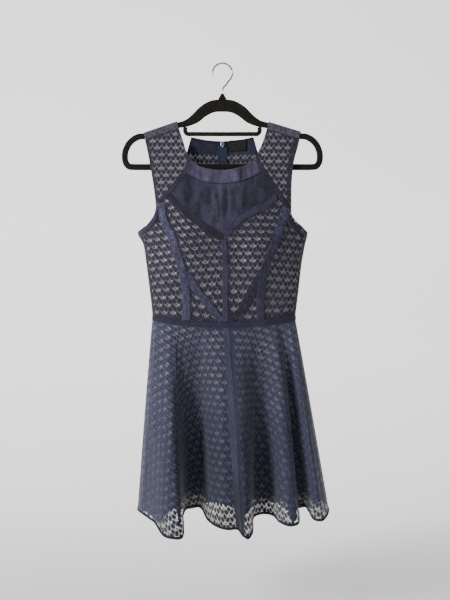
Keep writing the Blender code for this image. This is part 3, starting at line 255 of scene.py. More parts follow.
# Creases pressed or pulled into the cloth: x and drop where each starts, x and
# drop where it ends, sideways bow, width, and height, which is below 0 for a trough
CREASES = {
    FRONT: (
        (-24, 262, -20, 350, 2, 9, -3), (-3, 262, -1, 378, -2, 8, 3.2),
        (13, 266, 10, 340, 1, 4.5, -1.3), (31, 260, 20, 366, -3, 8, -4),
        (47, 256, 38, 336, -1, 9, 2.4), (-43, 258, -38, 336, 1, 9, 2.4),
        (-61, 250, -66, 316, -2, 7.5, -2), (66, 250, 72, 306, 2, 8, -1.6),
        (-86, 262, -70, 300, -2, 7, 1.2), (88, 262, 78, 296, 2, 7, -1.3),
        (-48, 230, -40, 266, 0, 5.5, -1.3), (-28, 236, -27, 270, 0.5, 5, 1.2),
        (-14, 240, -17, 268, 0, 4.5, -1.2), (4, 240, 2, 270, 0.5, 6, 1.2),
        (18, 239, 21, 268, 0, 5, -1.4), (32, 236, 37, 266, 0, 5.5, 1.2),
        (49, 228, 53, 258, 0, 4.5, -1.2), (-138, 326, -133, 358, 1.5, 4.5, -3.2),
        (-128, 330, -122, 366, 1, 7, 1.8), (-146, 372, -120, 362, 2, 6, -1),
        (-170, 392, -142, 386, 2, 6, -1.2), (-166, 430, -132, 420, -3, 8, 1.2),
        (-160, 478, -126, 492, 2, 7, -1), (-150, 520, -104, 540, -3, 7, 1.1),
        (-120, 552, -110, 520, 1, 5, -1), (-60, 553, -58, 524, 1, 5, -0.9),
        (-26, 556, -34, 534, 1, 5, 1), (28, 556, 38, 530, 1, 5, -1), (64, 553, 62, 526, 1, 5, 0.9),
        (112, 552, 106, 516, 1, 6, -1.1), (152, 524, 116, 508, 3, 7, 1.1),
        (164, 470, 132, 482, -2, 7, -1.1), (172, 420, 140, 432, 3, 8, 1.1),
        (176, 388, 150, 396, 2, 6, -1.2), (138, 346, 148, 378, -1, 5, -1.8),
        (128, 372, 134, 410, -1, 7, 1.3), (-40, 400, -22, 470, 5, 12, -1.2),
        (40, 398, 34, 476, -6, 12, -1.2), (96, 352, 60, 372, 4, 9, 1),
        (-96, 334, -74, 362, -3, 9, 1), (-146, 196, -112, 214, 3, 7, 0.8),
        (-130, 250, -96, 246, -3, 8, -0.9), (-142, 292, -120, 280, 2, 6, 0.8),
        (148, 206, 118, 222, -3, 7, 0.8), (140, 262, 104, 250, 3, 8, -0.9),
        (146, 304, 128, 290, 2, 6, 0.8),
    ),
    BACK: (
        (-62, 166, -44, 188, 1, 4.5, -1.3), (-46, 164, -28, 186, -1, 4.5, 1.2),
        (-26, 168, -12, 188, 1, 4, -1), (60, 168, 64, 188, 1, 4.5, -1),
        (-60, 206, -44, 262, 3, 10, 1), (62, 204, 46, 266, -3, 10, 1),
        (-150, 372, -112, 388, 3, 8, -1.5), (-164, 420, -110, 428, -4, 10, 1.4),
        (-156, 470, -96, 486, 4, 9, -1.4), (-150, 524, -84, 528, -3, 9, 1.3),
        (158, 374, 116, 392, -3, 8, -1.5), (170, 428, 118, 420, 4, 10, 1.4),
        (162, 480, 100, 478, -4, 9, -1.4), (156, 520, 92, 532, 3, 9, 1.3),
        (-30, 430, -18, 545, 2, 8, -1.2), (28, 440, 18, 548, -2, 8, -1.2),
    ),
}

# Smaller folds of the skirt between its main ones: share across at the waist, at the hem,
# half-width as a share, down from, down to, height
SKIRT_CREASES = {
    FRONT: (
        (0.05, 0.07, 0.01, 0.02, 0.7, 1.6), (0.11, 0.12, 0.009, 0, 0.45, -1.6),
        (0.15, 0.165, 0.008, 0.3, 1.1, 2), (0.19, 0.215, 0.01, 0, 0.6, 1.8),
        (0.25, 0.262, 0.009, 0.05, 0.55, -1.8), (0.315, 0.33, 0.012, 0.2, 1.1, 2.2),
        (0.36, 0.372, 0.01, 0, 0.5, 1.6), (0.42, 0.425, 0.01, 0.1, 0.8, -1.8),
        (0.468, 0.445, 0.008, 0.35, 1.1, 1.8), (0.56, 0.515, 0.009, 0, 0.4, -1.6),
        (0.6, 0.56, 0.01, 0.25, 1.1, 1.8), (0.64, 0.625, 0.01, 0, 0.55, 1.8),
        (0.69, 0.68, 0.01, 0.15, 0.9, -2), (0.742, 0.738, 0.009, 0, 0.5, 1.5),
        (0.8, 0.795, 0.01, 0.3, 1.1, 1.8), (0.85, 0.848, 0.009, 0, 0.6, -1.6),
        (0.905, 0.912, 0.01, 0.1, 0.85, 1.8), (0.955, 0.958, 0.009, 0.2, 1.1, -1.4),
    ),
    BACK: (
        (0.06, 0.055, 0.011, 0.05, 0.8, 1.8), (0.13, 0.12, 0.012, 0, 0.55, -1.8),
        (0.205, 0.215, 0.012, 0.25, 1.1, 2.2), (0.27, 0.285, 0.01, 0, 0.6, 1.8),
        (0.345, 0.34, 0.012, 0.15, 1.1, -2), (0.42, 0.41, 0.011, 0, 0.7, 1.8),
        (0.57, 0.58, 0.012, 0.05, 0.75, 1.9), (0.64, 0.65, 0.011, 0.2, 1.1, -2),
        (0.71, 0.7, 0.012, 0, 0.6, 1.8), (0.79, 0.8, 0.011, 0.25, 1.1, 2),
        (0.87, 0.86, 0.012, 0, 0.65, -1.8), (0.94, 0.945, 0.01, 0.1, 0.9, 1.6),
    ),
}

# ---------------------------------------------------------------- numbers and curves

def mix(a, b, share):
    return a + (b - a) * share


def smooth(share):
    share = np.clip(share, 0.0, 1.0)
    return share * share * (3 - 2 * share)


def uneven(a, b, turn):
    """A slow unevenness between -1 and 1, the same on every run."""
    waves = (
        np.sin(a + 0.37 * b + turn)
        + np.sin(0.43 * a - 0.91 * b + 2.1 * turn)
        + np.sin(0.21 * a + 1.27 * b + 3.7 * turn)
    )
    return waves / 3


def lengths(places):
    """How far along a line of points each one lies."""
    return np.concatenate([[0.0], np.cumsum(np.linalg.norm(np.diff(places, axis=0), axis=1))])


def unit(ways):
    """The same directions, each of length 1."""
    return ways / np.maximum(np.linalg.norm(ways, axis=-1, keepdims=True), 1e-9)


def read_at(where, reached, places):
    """Points of a line, by how far along it they lie."""
    return np.stack([np.interp(where, reached, column) for column in places.T], axis=-1)


class Table:
    """Columns that run smoothly from row to row of a table whose first column is its key."""

    def __init__(self, rows):
        rows = np.array(rows)
        self.keys, self.values = rows[:, 0], rows[:, 1:]
        steps = np.diff(self.values, axis=0) / np.diff(self.keys)[:, None]
        a, b = steps[:-1], steps[1:]
        level = a * b <= 0
        inner = np.where(level, 0.0, 2 * a * b / np.where(level, 1.0, a + b))
        self.slopes = np.vstack([steps[:1], inner, steps[-1:]])

    def at(self, key):
        """An array for each column."""
        key = np.asarray(key, float)
        row = np.clip(np.searchsorted(self.keys, key) - 1, 0, len(self.keys) - 2)
        width = (self.keys[row + 1] - self.keys[row])[..., None]
        t = np.clip((key - self.keys[row])[..., None] / width, 0.0, 1.0)
        a, b = self.values[row], self.values[row + 1]
        rise = (1 - t) * self.slopes[row] - t * self.slopes[row + 1]
        found = mix(a, b, t) + t * (1 - t) * (width * rise - (b - a) * (1 - 2 * t))
        return np.moveaxis(found, -1, 0)


class Curve:
    """A smooth curve through points, read by share of its length or by point number."""

    FINE = 24

    def __init__(self, points, before=None, after=None):
        points = [np.array(p, float) for p in points]
        before = 2 * points[0] - points[1] if before is None else np.array(before, float)
        after = 2 * points[-1] - points[-2] if after is None else np.array(after, float)
        padded = [before, *points, after]
        t = (np.arange(self.FINE) / self.FINE)[:, None]
        places = []
        for a, b, c, d in zip(padded, padded[1:], padded[2:], padded[3:]):
            knots = [math.sqrt(np.linalg.norm(q - p)) for p, q in ((a, b), (b, c), (c, d))]
            kb, kc, kd = np.cumsum(knots)
            k = mix(kb, kc, t)
            between = (k - kb) / (kc - kb)
            ab, bc, cd = mix(a, b, k / kb), mix(b, c, between), mix(c, d, (k - kc) / (kd - kc))
            places.append(mix(mix(ab, bc, k / kc), mix(bc, cd, (k - kb) / (kd - kb)), between))
        self.places = np.vstack([*places, points[-1]])
        self.numbers = np.arange(len(self.places)) / self.FINE
        reached = lengths(self.places)
        self.length = reached[-1]
        self.reached = reached / self.length

    def at(self, share):
        return read_at(share, self.reached, self.places)

    def at_number(self, number):
        return read_at(number, self.numbers, self.places)


def run(*points):
    """An edge that runs smoothly through its points of x and drop."""
    return Curve(points).at


def straight(a, b):
    return lambda t: np.stack([mix(a[0], b[0], t), mix(a[1], b[1], t)], axis=-1)


def joined(*stretches):
    """One edge made of several, each with its number of steps."""
    ends = np.cumsum([0, *(count for _, count in stretches)])
    ends = ends / ends[-1]

    def edge(t):
        found = np.empty((len(t), 2))
        for (stretch, _), a, b in zip(stretches, ends, ends[1:]):
            mine = (t >= a) & (t <= b)
            found[mine] = stretch((t[mine] - a) / (b - a))
        return found

    return edge


def turned(edge):
    return lambda t: edge(1 - t)


# ---------------------------------------------------------------- the garment's surfaces

SECTION = Table(SECTIONS)


def bodice(side, angle, drop):
    """Points of the bodice's outer face. The angle runs from -90 to 90 degrees across it."""
    left, right, front, back, bow, hang = SECTION.at(drop)
    x = mix(left, right, (1 + np.sin(angle)) / 2)
    across = np.cos(angle)
    falls = smooth((drop - DIP_STARTS) / (WAIST_TOP - DIP_STARTS)) * across * across
    if side == FRONT:
        y = hang + front * across
        for middle, level, forward, wide, high in FULLNESS:
            near = ((x - middle) / wide) ** 2 + ((drop - level) / high) ** 2
            y = y + forward * across * np.exp(-near)
        z = -drop - FRONT_WAIST_DIP * falls
    else:
        y = hang + back * across + bow * np.exp(-((x / BOW_WIDE) ** 2))
        z = -drop - BACK_WAIST_DIP * falls
    return np.stack([x, side * y, z], axis=-1)


def angle_at(x, drop):
    left, right = SECTION.at(drop)[:2]
    return np.arcsin(np.clip((2 * x - left - right) / (right - left), -1.0, 1.0))


def x_at(angle, drop):
    left, right = SECTION.at(drop)[:2]
    return mix(left, right, (1 + np.sin(angle)) / 2)


def waist_line(side):
    """The waist seam's angles and the share of its length at each."""
    angles = np.linspace(-math.pi / 2, math.pi / 2, 961)
    reached = lengths(bodice(side, angles, np.full(angles.shape, WAIST_LOW)))
    return angles, reached / reached[-1], reached[-1]


def hem_line(own, other):
    """One side's hem, which runs on smoothly into the other side's at the side seams."""
    own, other = ([(x, y, -drop) for x, y, drop in rows] for rows in (own, other))
    return Curve(own, before=other[1], after=other[-2])


WAIST = {side: waist_line(side) for side in (FRONT, BACK)}
HEM = {FRONT: hem_line(FRONT_HEM, BACK_HEM), BACK: hem_line(BACK_HEM, FRONT_HEM)}
HANG = {FRONT: Table(FRONT_HANG), BACK: Table(BACK_HANG)}


def skirt(side, share, down):
    """Points of the skirt's outer face, at a share of the way across and down."""
    share = np.clip(share, 0.0, 1.0)
    at_waist, flare = HANG[side].at(share)
    angles, reached, _ = WAIST[side]
    angle = np.interp(at_waist, reached, angles)
    start_at = bodice(side, angle, np.full(np.shape(angle), WAIST_LOW))
    end_at = HEM[side].at(share)
    way = np.stack([down ** flare, down ** FOLD_POWER, down], axis=-1)
    return mix(start_at, end_at, way)


def outward(surface, side, across, down, step):
    """Unit normals of a surface."""
    right = surface(side, across + step[0], down) - surface(side, across - step[0], down)
    above = surface(side, across, np.maximum(down - step[1], 0.0))
    lower = surface(side, across, down + step[1]) - above
    return unit(np.cross(lower, right) * -side)


CREASE_FADE = 0.3       # share of a crease's length in which it rises or dies away
FOLD_FADE = (0.16, 0.2)     # the same for the skirt's smaller folds, at their top and their end
BODICE_UNEVEN, SKIRT_UNEVEN = 0.5, 0.6      # millimetres in and out, apart from the creases


def creases(side, x, drop):
    """How far the creases push the bodice out, in millimetres."""
    push = np.zeros(np.shape(x))
    for xa, da, xb, db, bow, wide, high in CREASES[side]:
        length = math.hypot(xb - xa, db - da)
        ax, ad = (xb - xa) / length, (db - da) / length
        along = ((x - xa) * ax + (drop - da) * ad) / length
        off = (drop - da) * ax - (x - xa) * ad - bow * 4 * along * (1 - along)
        fade = smooth(along / CREASE_FADE) * smooth((1 - along) / CREASE_FADE)
        push += high * fade * np.exp(-((off / wide) ** 2))
    return push + BODICE_UNEVEN * uneven(x / 13.0, drop / 17.0, 1.3 + side)


def skirt_creases(side, share, down):
    """How far the smaller folds push the skirt out."""
    push = np.zeros(np.shape(share))
    for at_waist, at_hem, wide, begins, ends, high in SKIRT_CREASES[side]:
        middle = mix(at_waist, at_hem, down) + 0.003 * np.sin(9.0 * down + 40.0 * at_waist)
        fade = smooth((down - begins) / FOLD_FADE[0]) * smooth((ends - down) / FOLD_FADE[1])
        push += high * fade * np.exp(-(((share - middle) / wide) ** 2))
    waves = uneven(share * 70.0, down * 22.0, 0.4 + side)
    return push + SKIRT_UNEVEN * smooth(down / 0.1) * waves


BODICE_STEP = (0.01, 1.0)       # the steps across and down that a normal is read from
SKIRT_STEP = (0.003, 0.01)


def on_bodice(side, angle, drop, lift=0.0, creased=1.0):
    """Points of the bodice, moved out by its creases and by lift."""
    push = lift + creased * creases(side, x_at(angle, drop), drop)
    normal = outward(bodice, side, angle, drop, BODICE_STEP)
    return bodice(side, angle, drop) + normal * push[..., None]


def at_places(side, x, drop, lift=0.0):
    """Points of the creased bodice at x and drop."""
    return on_bodice(side, angle_at(x, drop), drop, lift)


def on_skirt(side, share, down, lift=0.0, creased=1.0):
    push = lift + creased * skirt_creases(side, share, down)
    normal = outward(skirt, side, share, down, SKIRT_STEP)
    return skirt(side, share, down) + normal * push[..., None]


# ---------------------------------------------------------------- how the cloth lies flat

ARC_ANGLES = np.linspace(-math.pi / 2, math.pi / 2, 121)
ARC_DROPS = np.linspace(SECTIONS[0][0], SECTIONS[-1][0], 64)
CLOTH_CENTRE = -430.0   # height on the flat cloth about which a panel's cloth is turned
HEM_TURNED = 12.0       # the skirt's cloth is longer than its drop, because of its slant


def arcs(side):
    """Lengths along each section from its middle, for every angle and drop of the tables above."""
    drops, angles = np.meshgrid(ARC_DROPS, ARC_ANGLES, indexing="ij")
    places = bodice(side, angles, drops)
    places[..., 2] = 0.0
    steps = np.linalg.norm(np.diff(places, axis=1), axis=2)
    reached = np.concatenate([np.zeros((len(ARC_DROPS), 1)), np.cumsum(steps, axis=1)], axis=1)
    return reached - reached[:, len(ARC_ANGLES) // 2, None]


ARCS = {side: arcs(side) for side in (FRONT, BACK)}


def bodice_flat(side, angle, drop, tilt=0.0):
    """Where the bodice's points lie on the flat cloth. The cloth is turned by tilt degrees."""
    row = (drop - ARC_DROPS[0]) / (ARC_DROPS[1] - ARC_DROPS[0])
    column = (angle - ARC_ANGLES[0]) / (ARC_ANGLES[1] - ARC_ANGLES[0])
    row = np.clip(row, 0, len(ARC_DROPS) - 1.001)
    column = np.clip(column, 0, len(ARC_ANGLES) - 1.001)
    r, c = row.astype(int), column.astype(int)
    table = ARCS[side]
    upper = mix(table[r, c], table[r, c + 1], column - c)
    lower = mix(table[r + 1, c], table[r + 1, c + 1], column - c)
    u, v = mix(upper, lower, row - r) * -side, -drop - CLOTH_CENTRE
    cos, sin = math.cos(math.radians(tilt)), math.sin(math.radians(tilt))
    return np.stack([u * cos - v * sin, CLOTH_CENTRE + u * sin + v * cos], axis=-1)


def skirt_flat(side, share, down):
    """The skirt's cloth is cut as part of a ring."""
    long = SKIRT_LONG + HEM_TURNED
    waist, hem = WAIST[side][2], HEM[side].length
    inner = waist * long / (hem - waist)
    at_waist = HANG[side].at(np.clip(share, 0.0, 1.0))[0]
    angle = (mix(at_waist, share, down) - 0.5) * (waist / inner) * -side
    radius = inner + long * down
    return np.stack([radius * np.sin(angle), -radius * np.cos(angle)], axis=-1)


# ---------------------------------------------------------------- seams of the bodice

def flat_edge(edge, t):
    """An edge's points as angle and drop."""
    places = edge(t)
    return np.stack([angle_at(places[:, 0], places[:, 1]), places[:, 1]], axis=-1)


def reach(edge):
    """The length of an edge on the garment, near enough to choose a grid by."""
    places = flat_edge(edge, np.linspace(0, 1, 40))
    return lengths(bodice(FRONT, places[:, 0], places[:, 1]))[-1]


def patch(top, low, left, right, step, first=0.0):
    """Angle and drop of a grid that fills the four edges, in steps of about the given size."""
    columns = max(math.ceil(max(reach(top), reach(low)) / step), 2)
    rows = max(math.ceil(max(reach(left), reach(right)) / step), 2)
    u, v = np.linspace(0, 1, columns + 1), np.linspace(first, 1, rows + 1)
    top, low = flat_edge(top, u), flat_edge(low, u)
    left, right = flat_edge(left, v), flat_edge(right, v)
    u, v = u[None, :, None], v[:, None, None]
    corners = mix(mix(top[0], top[-1], u), mix(low[0], low[-1], u), v)
    grid = mix(left[:, None], right[:, None], u) + mix(top[None], low[None], v) - corners
    return grid[..., 0], grid[..., 1]


def ordered(which, top, low, outer, inner):
    """Top, low, left and right edges from edges that are known as outer and inner."""
    return (top, low, outer, inner) if which == "l" else (turned(top), turned(low), inner, outer)


def side_point(which, drop):
    """Where a side seam is at a drop."""
    return float(SECTION.at(drop)[SIDES.index(which)]), drop


def down_line(find_x, drops):
    """An edge that runs down through its drops. Its x comes from the section's two sides."""
    numbers = np.arange(len(drops))

    def edge(t):
        drop = np.interp(t * numbers[-1], numbers, drops)
        return np.stack([find_x(*SECTION.at(drop)[:2]), drop], axis=-1)

    return edge


def side_seam(which, drops=SIDE_SEAM_DROPS):
    """The side seam, with its points spaced as in the cut."""
    return down_line(lambda *sides: sides[SIDES.index(which)], drops)


def centre_back(which, *drops):
    """The edge beside the zip, between two drops."""
    out = -ZIP_HALF_GAP if which == "l" else ZIP_HALF_GAP
    return down_line(lambda left, right: (left + right) / 2 + out, drops)


def level(a, b):
    """Along one height at even angles, from one point to another."""
    one, other = float(angle_at(*a)), float(angle_at(*b))

    def edge(t):
        drop = np.full(np.shape(t), a[1])
        return np.stack([x_at(mix(one, other, t), drop), drop], axis=-1)

    return edge


def ends_of(edge):
    """The first and last points of an edge."""
    return [tuple(place) for place in edge(np.array([0.0, 1.0]))]


def armhole(which, side):
    """The armhole below the raglan seam, down to the underarm."""
    s = SEAMS[which]
    bow = s["armhole" if side == FRONT else "back_armhole"]
    return run(s["raglan_end"], *bow, side_point(which, UNDERARM))


def shoulder_points(which, deep):
    """The ends of a line along the shoulder strip, at a depth below its fold."""
    lean = SHOULDER_LEAN * deep * (1 if which == "l" else -1)
    return [(x + lean, drop + deep) for x, drop in SEAMS[which]["shoulder"]]


def strap_seams(which):
    """The strap's edges, and the raglan seam in its four stretches."""
    s = SEAMS[which]
    outer_top, inner_top = shoulder_points(which, SHOULDER_DEEP)
    return {
        "top": straight(outer_top, inner_top),
        "outer": run(outer_top, *s["strap_outer"], s["raglan_end"]),
        "inner": run(inner_top, *s["strap_inner"], s["neck_corner"]),
        "neck": run(s["neck_corner"], s["raglan_top"]),
        "yoke": run(s["raglan_top"], s["raglan_bow"], s["raglan_v"]),
        "bust": run(s["raglan_v"], s["raglan_princess"]),
        "side": run(s["raglan_princess"], s["raglan_end"]),
    }


def v_seam(which):
    s = SEAMS[which]
    return run(s["raglan_v"], *s["v_bow"], V_POINT)


def princess(which):
    s = SEAMS[which]
    upper = run(s["raglan_princess"], *s["princess"], s["princess_split"])
    lower = run(s["princess_split"], *s["princess_low"], s["princess_end"])
    return upper, lower


def underbust(which):
    s = SEAMS[which]
    return run(s["princess_split"], *s["underbust"], CENTRE_WAIST)


def bodice_edges():
    """Side, four edges, first row and slant of the lace for each lace panel of the bodice."""
    found = {}
    for which in SIDES:
        s, strap = SEAMS[which], strap_seams(which)
        upper, lower = princess(which)
        tilt = -5.0 if which == "l" else 0.0
        raglan = joined((strap["neck"], 2), (strap["yoke"], 3), (strap["bust"], 2),
                        (strap["side"], 1))
        edges = ordered(which, strap["top"], turned(raglan), strap["outer"], strap["inner"])
        found[f"strap_front_{which}"] = (FRONT, edges, 0.0, tilt * 0.4)
        top = joined((turned(strap["bust"]), 2), (v_seam(which), 5))
        centre = run(V_POINT, *CENTRE_FRONT, CENTRE_WAIST)
        edges = ordered(which, top, underbust(which), upper, centre)
        found[f"bust_lace_{which}"] = (FRONT, edges, 0.0, tilt)
        apex = straight(s["princess_split"], s["princess_split"])
        waist = straight(s["princess_end"], CENTRE_WAIST)
        edges = ordered(which, apex, waist, lower, underbust(which))
        found[f"underbust_lace_{which}"] = (FRONT, edges, 0.02, -tilt)
        outer = joined((armhole(which, FRONT), 4), (side_seam(which), 9))
        top = straight(s["raglan_end"], s["raglan_princess"])
        low = level(side_point(which, WAIST_TOP), s["princess_end"])
        edges = ordered(which, top, low, outer, joined((upper, 6), (lower, 7)))
        found[f"side_lace_{which}"] = (FRONT, edges, 0.0, 2 * tilt + 4.0)

        inner = run(shoulder_points(which, SHOULDER_DEEP)[1], *s["back_inner"], s["notch"])
        raglan = run(s["notch"], *s["back_raglan_bow"], s["raglan_end"])
        edges = ordered(which, strap["top"], turned(raglan), strap["outer"], inner)
        found[f"strap_back_{which}"] = (BACK, edges, 0.0, 0.0)
        outer = joined((raglan, 5), (armhole(which, BACK), 3), (side_seam(which), 9))
        centre = centre_back(which, BACK_NECKBAND_LOW, WAIST_TOP)
        neck_end, waist_end = ends_of(centre)
        shoulder = straight(s["notch"], s["back_neck_side"])
        top = joined((shoulder, 1), (run(s["back_neck_side"], neck_end), 7))
        low = level(side_point(which, WAIST_TOP), waist_end)
        found[f"back_lace_{which}"] = (BACK, ordered(which, top, low, outer, centre), 0.0, 0.0)
    return found


def plain_edges():
    """Side and four edges of each plain panel of the bodice."""
    left, right = strap_seams("l"), strap_seams("r")
    low = run(SEAMS["l"]["raglan_top"], *NECKBAND_LOW, SEAMS["r"]["raglan_top"])
    top = run(SEAMS["l"]["neck_corner"], *NECKLINE, SEAMS["r"]["neck_corner"])
    v = joined((v_seam("l"), 5), (turned(v_seam("r")), 5))
    found = {
        "neckband_front": (FRONT, (top, low, left["neck"], right["neck"])),
        "yoke_front": (FRONT, (low, v, left["yoke"], right["yoke"])),
    }
    top, low = (level(side_point("l", drop), side_point("r", drop)) for drop in WAISTBAND)
    seams = [side_seam(which, WAISTBAND) for which in SIDES]
    found["waistband_front"] = (FRONT, (top, low, *seams))
    for which, seam in zip(SIDES, seams):
        inner = centre_back(which, *WAISTBAND)
        top, low = (level(side_point(which, drop), (x, drop)) for x, drop in ends_of(inner))
        found[f"waistband_back_{which}"] = (BACK, ordered(which, top, low, seam, inner))
        neck_top, neck_side = (SEAMS[which][name] for name in ("back_neck_top", "back_neck_side"))
        inner = centre_back(which, BACK_NECK, BACK_NECKBAND_LOW)
        upper, lower = ends_of(inner)
        top = run(neck_top, ((neck_top[0] + upper[0]) / 2, BACK_NECK - 1.5), upper)
        low, outer = straight(neck_side, lower), straight(neck_top, neck_side)
        edges = ordered(which, top, low, outer, inner)
        found[f"neckband_back_{which}"] = (BACK, edges)
    return found


def lining_edges():
    """Side and four edges of each lining panel of the bodice."""
    seams = {(side, which): joined((armhole(which, side), 3), (side_seam(which), 3))
             for side in (FRONT, BACK) for which in SIDES}
    left, right = SEAMS["l"], SEAMS["r"]
    top = joined((run(left["raglan_end"], left["raglan_princess"], left["raglan_v"]), 2),
                 (straight(left["raglan_v"], right["raglan_v"]), 8),
                 (run(right["raglan_v"], right["raglan_princess"], right["raglan_end"]), 2))
    low = level(side_point("l", WAIST_TOP), side_point("r", WAIST_TOP))
    found = {"bodice_lining_front": (FRONT, (top, low, seams[FRONT, "l"], seams[FRONT, "r"]))}
    for which in SIDES:
        out = -LINING_FROM_ZIP if which == "l" else LINING_FROM_ZIP
        start_at = SEAMS[which]["raglan_end"]
        top = straight(start_at, (out, start_at[1]))
        inner = straight((out, start_at[1]), (out, WAIST_TOP))
        low = level(side_point(which, WAIST_TOP), (out, WAIST_TOP))
        edges = ordered(which, top, low, seams[BACK, which], inner)
        found[f"bodice_lining_back_{which}"] = (BACK, edges)
    return found


# How far each band reaches to the left and right of its line, and how far it lies above the cloth
BAND_SIZES = {
    "raglan_band_l": (9.5, 0.5, 0.8),
    "raglan_band_r": (0.5, 9.5, 0.8),
    "princess_band_l": (9.0, 9.0, 1.0),
    "princess_band_r": (9.0, 9.0, 1.0),
    "underbust_band_l": (5.8, 9.5, 0.5),
    "underbust_band_r": (8.2, 8.2, 0.5),
    "armhole_band_l": (0.3, 9.5, 0.9),
    "armhole_band_r": (4.75, 4.75, 0.7),
    "cf_band": (6.6, 6.6, 0.9),
}
V_BAND_LIFT = 0.6


def band_lines():
    """The points of x and drop that each band sewn on the front follows."""
    found = {}
    for which in SIDES:
        s = SEAMS[which]
        out = 1 if which == "l" else -1
        names = ("neck_corner", "raglan_top", "raglan_bow", "raglan_v", "raglan_princess")
        found[f"raglan_band_{which}"] = [s[name] for name in names]
        found[f"princess_band_{which}"] = [
            s["raglan_princess"], *s["princess"], s["princess_split"], *s["princess_low"],
            s["princess_end"]]
        split_x, split_drop = s["princess_split"]
        start_at = (split_x + out * 6.0, split_drop + 6.0)
        end_at = (CENTRE_WAIST[0] - out * 9.0, WAIST_TOP - 1.5)
        found[f"underbust_band_{which}"] = [start_at, *s["underbust"], end_at]
    s = SEAMS["l"]
    found["armhole_band_l"] = [s["raglan_end"], *s["armhole"], (-185.0, UNDERARM - 1.0)]
    found["armhole_band_r"] = SEAMS["r"]["inner_arm"]
    found["cf_band"] = [(V_POINT[0] + 0.6, 392.0), *CENTRE_FRONT, CENTRE_WAIST]
    return found


# ---------------------------------------------------------------- materials

# One leaf of the lace, in millimetres from the middle of its star, and the star's repeat
LEAF = ((1.0, -3.0), (0.9, -8.8), (4.7, -13.5), (8.9, -9.7), (5.7, -3.5))
STAR_APART, STAR_ROWS = 20.5, 15.6
DIAMOND = (3.7, 6.1)    # half its width and height
OVAL = (5.5, 2.5)

# How far the lace stays plain inside its top, low, left and right edges, in millimetres
NO_PLAIN_EDGES = (-9.0, -9.0, -9.0, -9.0)
PLAIN_EDGES = {
    "strap_front_l": (3.0, 6.0, 6.0, 8.0),
    "strap_front_r": (3.0, 6.0, 8.0, 12.0),
    "strap_back_l": (3.0, 6.0, 6.0, 6.0),
    "strap_back_r": (3.0, 6.0, 6.0, 6.0),
    "bust_lace_l": (1.0, 12.0, 0.0, -9.0),
    "bust_lace_r": (2.0, 4.0, 0.0, -9.0),
    "underbust_lace_l": (-9.0, -9.0, 2.0, -2.0),
    "side_lace_l": (0.0, 5.0, -3.0, 2.0),
    "side_lace_r": (0.0, 5.0, 0.0, -3.0),
    "skirt_front_l": (-99.0, -99.0, 3.0, 0.0),
    "skirt_front_r": (-99.0, -99.0, 6.0, 3.0),
    "skirt_back_l": (-99.0, -99.0, 3.0, -99.0),
    "skirt_back_r": (-99.0, -99.0, -99.0, 3.0),
}


def tone(red, green, blue):
    """A colour given as 0 to 255 steps on a screen, as the linear numbers that shaders use."""
    steps = (red / 255, green / 255, blue / 255)
    return tuple(s / 12.92 if s <= 0.04045 else ((s + 0.055) / 1.055) ** 2.4 for s in steps)


# Where the skirt's lace changes, each as a number and the width of the ramp about it: metres
# from the centre line, metres of height, and millimetres below the lining and from a side seam.
# Outside the first the lace is paled by a painted sheen, below the second its middle is
# darkened by painted shade, and below the lining its net is painted the cream of lit lining.
SKIRT_SIDES = (0.115, 0.05)
SKIRT_SHADE_HEIGHT = (-0.79, 0.12)
BELOW_LINING = (1.0, 5.0)
BESIDE_SEAM = (20.0, 14.0)
SEAM_TONE = tone(112, 111, 128)
# Painted light: the cream of lit lining, which the skirt's net takes below the lining
LIT_LINING_TONE = tone(176, 170, 150)


class Value:
    """A number in a material's nodes, so that shader maths reads as an expression."""

    def __init__(self, finish, socket):
        self.finish, self.socket = finish, socket

    def maths(self, operation, *others, clamp=False):
        inputs = dict(enumerate((self, *others)))
        node = self.finish.node("Math", {"operation": operation, "use_clamp": clamp}, inputs)
        return Value(self.finish, node.outputs[0])

    def __add__(self, other):
        return self.maths("ADD", other)

    def __sub__(self, other):
        return self.maths("SUBTRACT", other)

    def __rsub__(self, other):
        return (self * -1.0) + other

    def __mul__(self, other):
        return self.maths("MULTIPLY", other)

    def __truediv__(self, other):
        return self.maths("DIVIDE", other)

    def __abs__(self):
        return self.maths("ABSOLUTE")

    __radd__, __rmul__ = __add__, __mul__

    def lowest(self, other):
        return self.maths("MINIMUM", other)

    def highest(self, other):
        return self.maths("MAXIMUM", other)

    def within(self):
        """Held between 0 and 1."""
        return self.maths("ADD", 0.0, clamp=True)

    def edge(self, at, soft):
        """0 well below a number, 1 well above it, with a ramp of the given width between."""
        return ((self - at) / soft + 0.5).within()

    def wave(self, pitch):
        """A wave from 0 to 1 that comes back at each pitch."""
        return (self * (math.tau / pitch)).maths("COSINE") * 0.5 + 0.5


